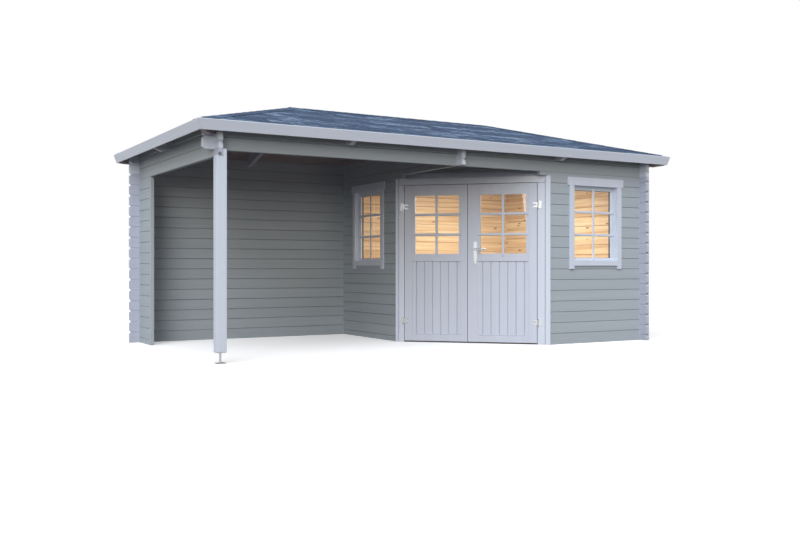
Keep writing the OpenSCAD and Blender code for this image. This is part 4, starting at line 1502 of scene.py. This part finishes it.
def makeSeals():
    # rubber strips in the frame's rebates, and one on the left leaf's meeting edge
    look = sealLook
    (left, right), over = look["jambs"], look["over"]
    front, back, low, high = look["front"], look["back"], look["low"], look["high"]
    rebates = [((left, front, low), (left + over, back, high)),
               ((right - over, front, low), (right, back, high)),
               ((left + over, front, high - over), (right - over, back, high))]
    meeting = tuple(zip(look["meeting"], look["meetingDepth"], look["meetingHeight"]))
    for name, blocks, body in (("frame_seals", rebates, "root"),
                               ("meeting_seal", [meeting], "door_left")):
        strips = makeBoards(name, blocks, look["soft"])
        toDoorWall(strips)
        finishPiece(strips, body, rubber)


makeSeals()
print("doors sealed")


# windows: casings, frames, sashes and glazing bars
windowLook = {
    "half": 0.3075,         # half the clear width between the side casings
    "low": 0.894,
    "high": 1.695,
    "casingW": 0.062,
    "casingT": 0.018,
    "headH": 0.088,
    "ear": 0.027,
    "sillH": 0.061,
    "leg": 0.097,
    "frameT": 0.022,
    "depth": 0.076,
    "sashFront": 0.036,
    "sashHalf": 0.3072,
    "sashLow": 0.8943,
    "sashHigh": 1.6947,
    "stile": 0.045,
    "foot": 0.024,
    "stop": 0.012,
    "stopFoot": 0.006,
    "stopGap": 0.0003,
    "soft": 0.0022,
    "frameSoft": 0.001,
    "barWidth": 0.026,
    "barOut": 0.009,
    "barSide": 0.028,
    "barUp": 0.022,
    "barDown": 0.014,
    # the ring behind the glass is dark partly as painted shade
    "gasketShadeT": 0.003,
    "gasketShade": (0.0585, 0.0752),
    "gasketShadeSoft": 0.0004,
    "middles": {"front": (1.798, -1.26), "side": (-0.018, 0.574)},
    "heights": {"front": (1.167, 1.412), "side": (1.172, 1.418)},
}


def toWindow(piece, wall):
    # from the window's middle, x along the wall and y inwards, to its wall
    x, y = windowLook["middles"][wall]
    turn = Matrix.Rotation(-quarter if wall == "side" else 0, 4, "Z")
    piece.data.transform(Matrix.Translation((x, y, 0)) @ turn)
    piece.data.update()


def ringBlocks(halfOut, halfIn, low, lowIn, highIn, high, front, back):
    # four boards round an opening, the upright ones running through
    return [((-halfOut, front, low), (-halfIn, back, high)),
            ((halfIn, front, low), (halfOut, back, high)),
            ((-halfIn, front, low), (halfIn, back, lowIn)),
            ((-halfIn, front, highIn), (halfIn, back, high))]


def makeCasing(name):
    look = windowLook
    half, side = look["half"], look["half"] + look["casingW"]
    ear, face = side + look["ear"], -look["casingT"]
    blocks = [((-side, face, look["low"] - look["leg"]), (-half, 0, look["high"])),
              ((half, face, look["low"] - look["leg"]), (side, 0, look["high"])),
              ((-half, face, look["low"] - look["sillH"]), (half, 0, look["low"])),
              ((-ear, face, look["high"]), (ear, 0, look["high"] + look["headH"]))]
    return makeBoards(name, blocks, look["soft"])


def makeFrame(name):
    look = windowLook
    t = look["frameT"]
    blocks = ringBlocks(look["half"] + t, look["half"], look["low"] - t, look["low"],
                        look["high"], look["high"] + t, 0, look["depth"])
    stop = look["stop"]
    front, back = look["sashFront"] - stop, look["sashFront"] - look["stopGap"]
    blocks += ringBlocks(look["half"], look["half"] - stop, look["low"],
                         look["low"] + look["stopFoot"], look["high"] - stop, look["high"],
                         front, back)
    return makeBoards(name, blocks, look["frameSoft"])


def makeSash(name):
    look = windowLook
    blocks = ringBlocks(look["sashHalf"], look["sashHalf"] - look["stile"], look["sashLow"],
                        look["sashLow"] + look["foot"], look["sashHigh"] - look["stile"],
                        look["sashHigh"], look["sashFront"], look["depth"])
    return makeBoards(name, blocks, look["soft"])


def fitWindow(wall):
    node = wall + "_window_"
    look = windowLook
    halfPane = look["sashHalf"] - look["stile"]
    pane = (-halfPane, halfPane, look["sashLow"] + look["foot"], look["sashHigh"] - look["stile"])
    bars = makeBars(node + "bars", pane, look["heights"][wall], look, look["sashFront"])
    _, right, low, high = pane
    # a black rubber ring lining the sash's reveal behind the glass: partly glazing gasket, partly
    # painted shade
    t = look["gasketShadeT"]
    gasketShade = makeBoards(node + "gasketShade", ringBlocks(right, right - t, low, low + t, high - t,
                                                    high, *look["gasketShade"]), look["gasketShadeSoft"])
    toWindow(gasketShade, wall)
    finishPiece(gasketShade, "root", rubber)
    pieces = ((makeCasing(node + "casing_boards"), [node + "casing"]),
              (makeFrame(node + "frame_boards"), [node + "frame"]),
              (makeSash(node + "sash_rails"), [node + "sash"]), (bars, ()))
    for piece, replaced in pieces:
        toWindow(piece, wall)
        finishPiece(piece, "root", trimZ, replaced)


for wall in ("front", "side"):
    fitWindow(wall)
print("windows built")
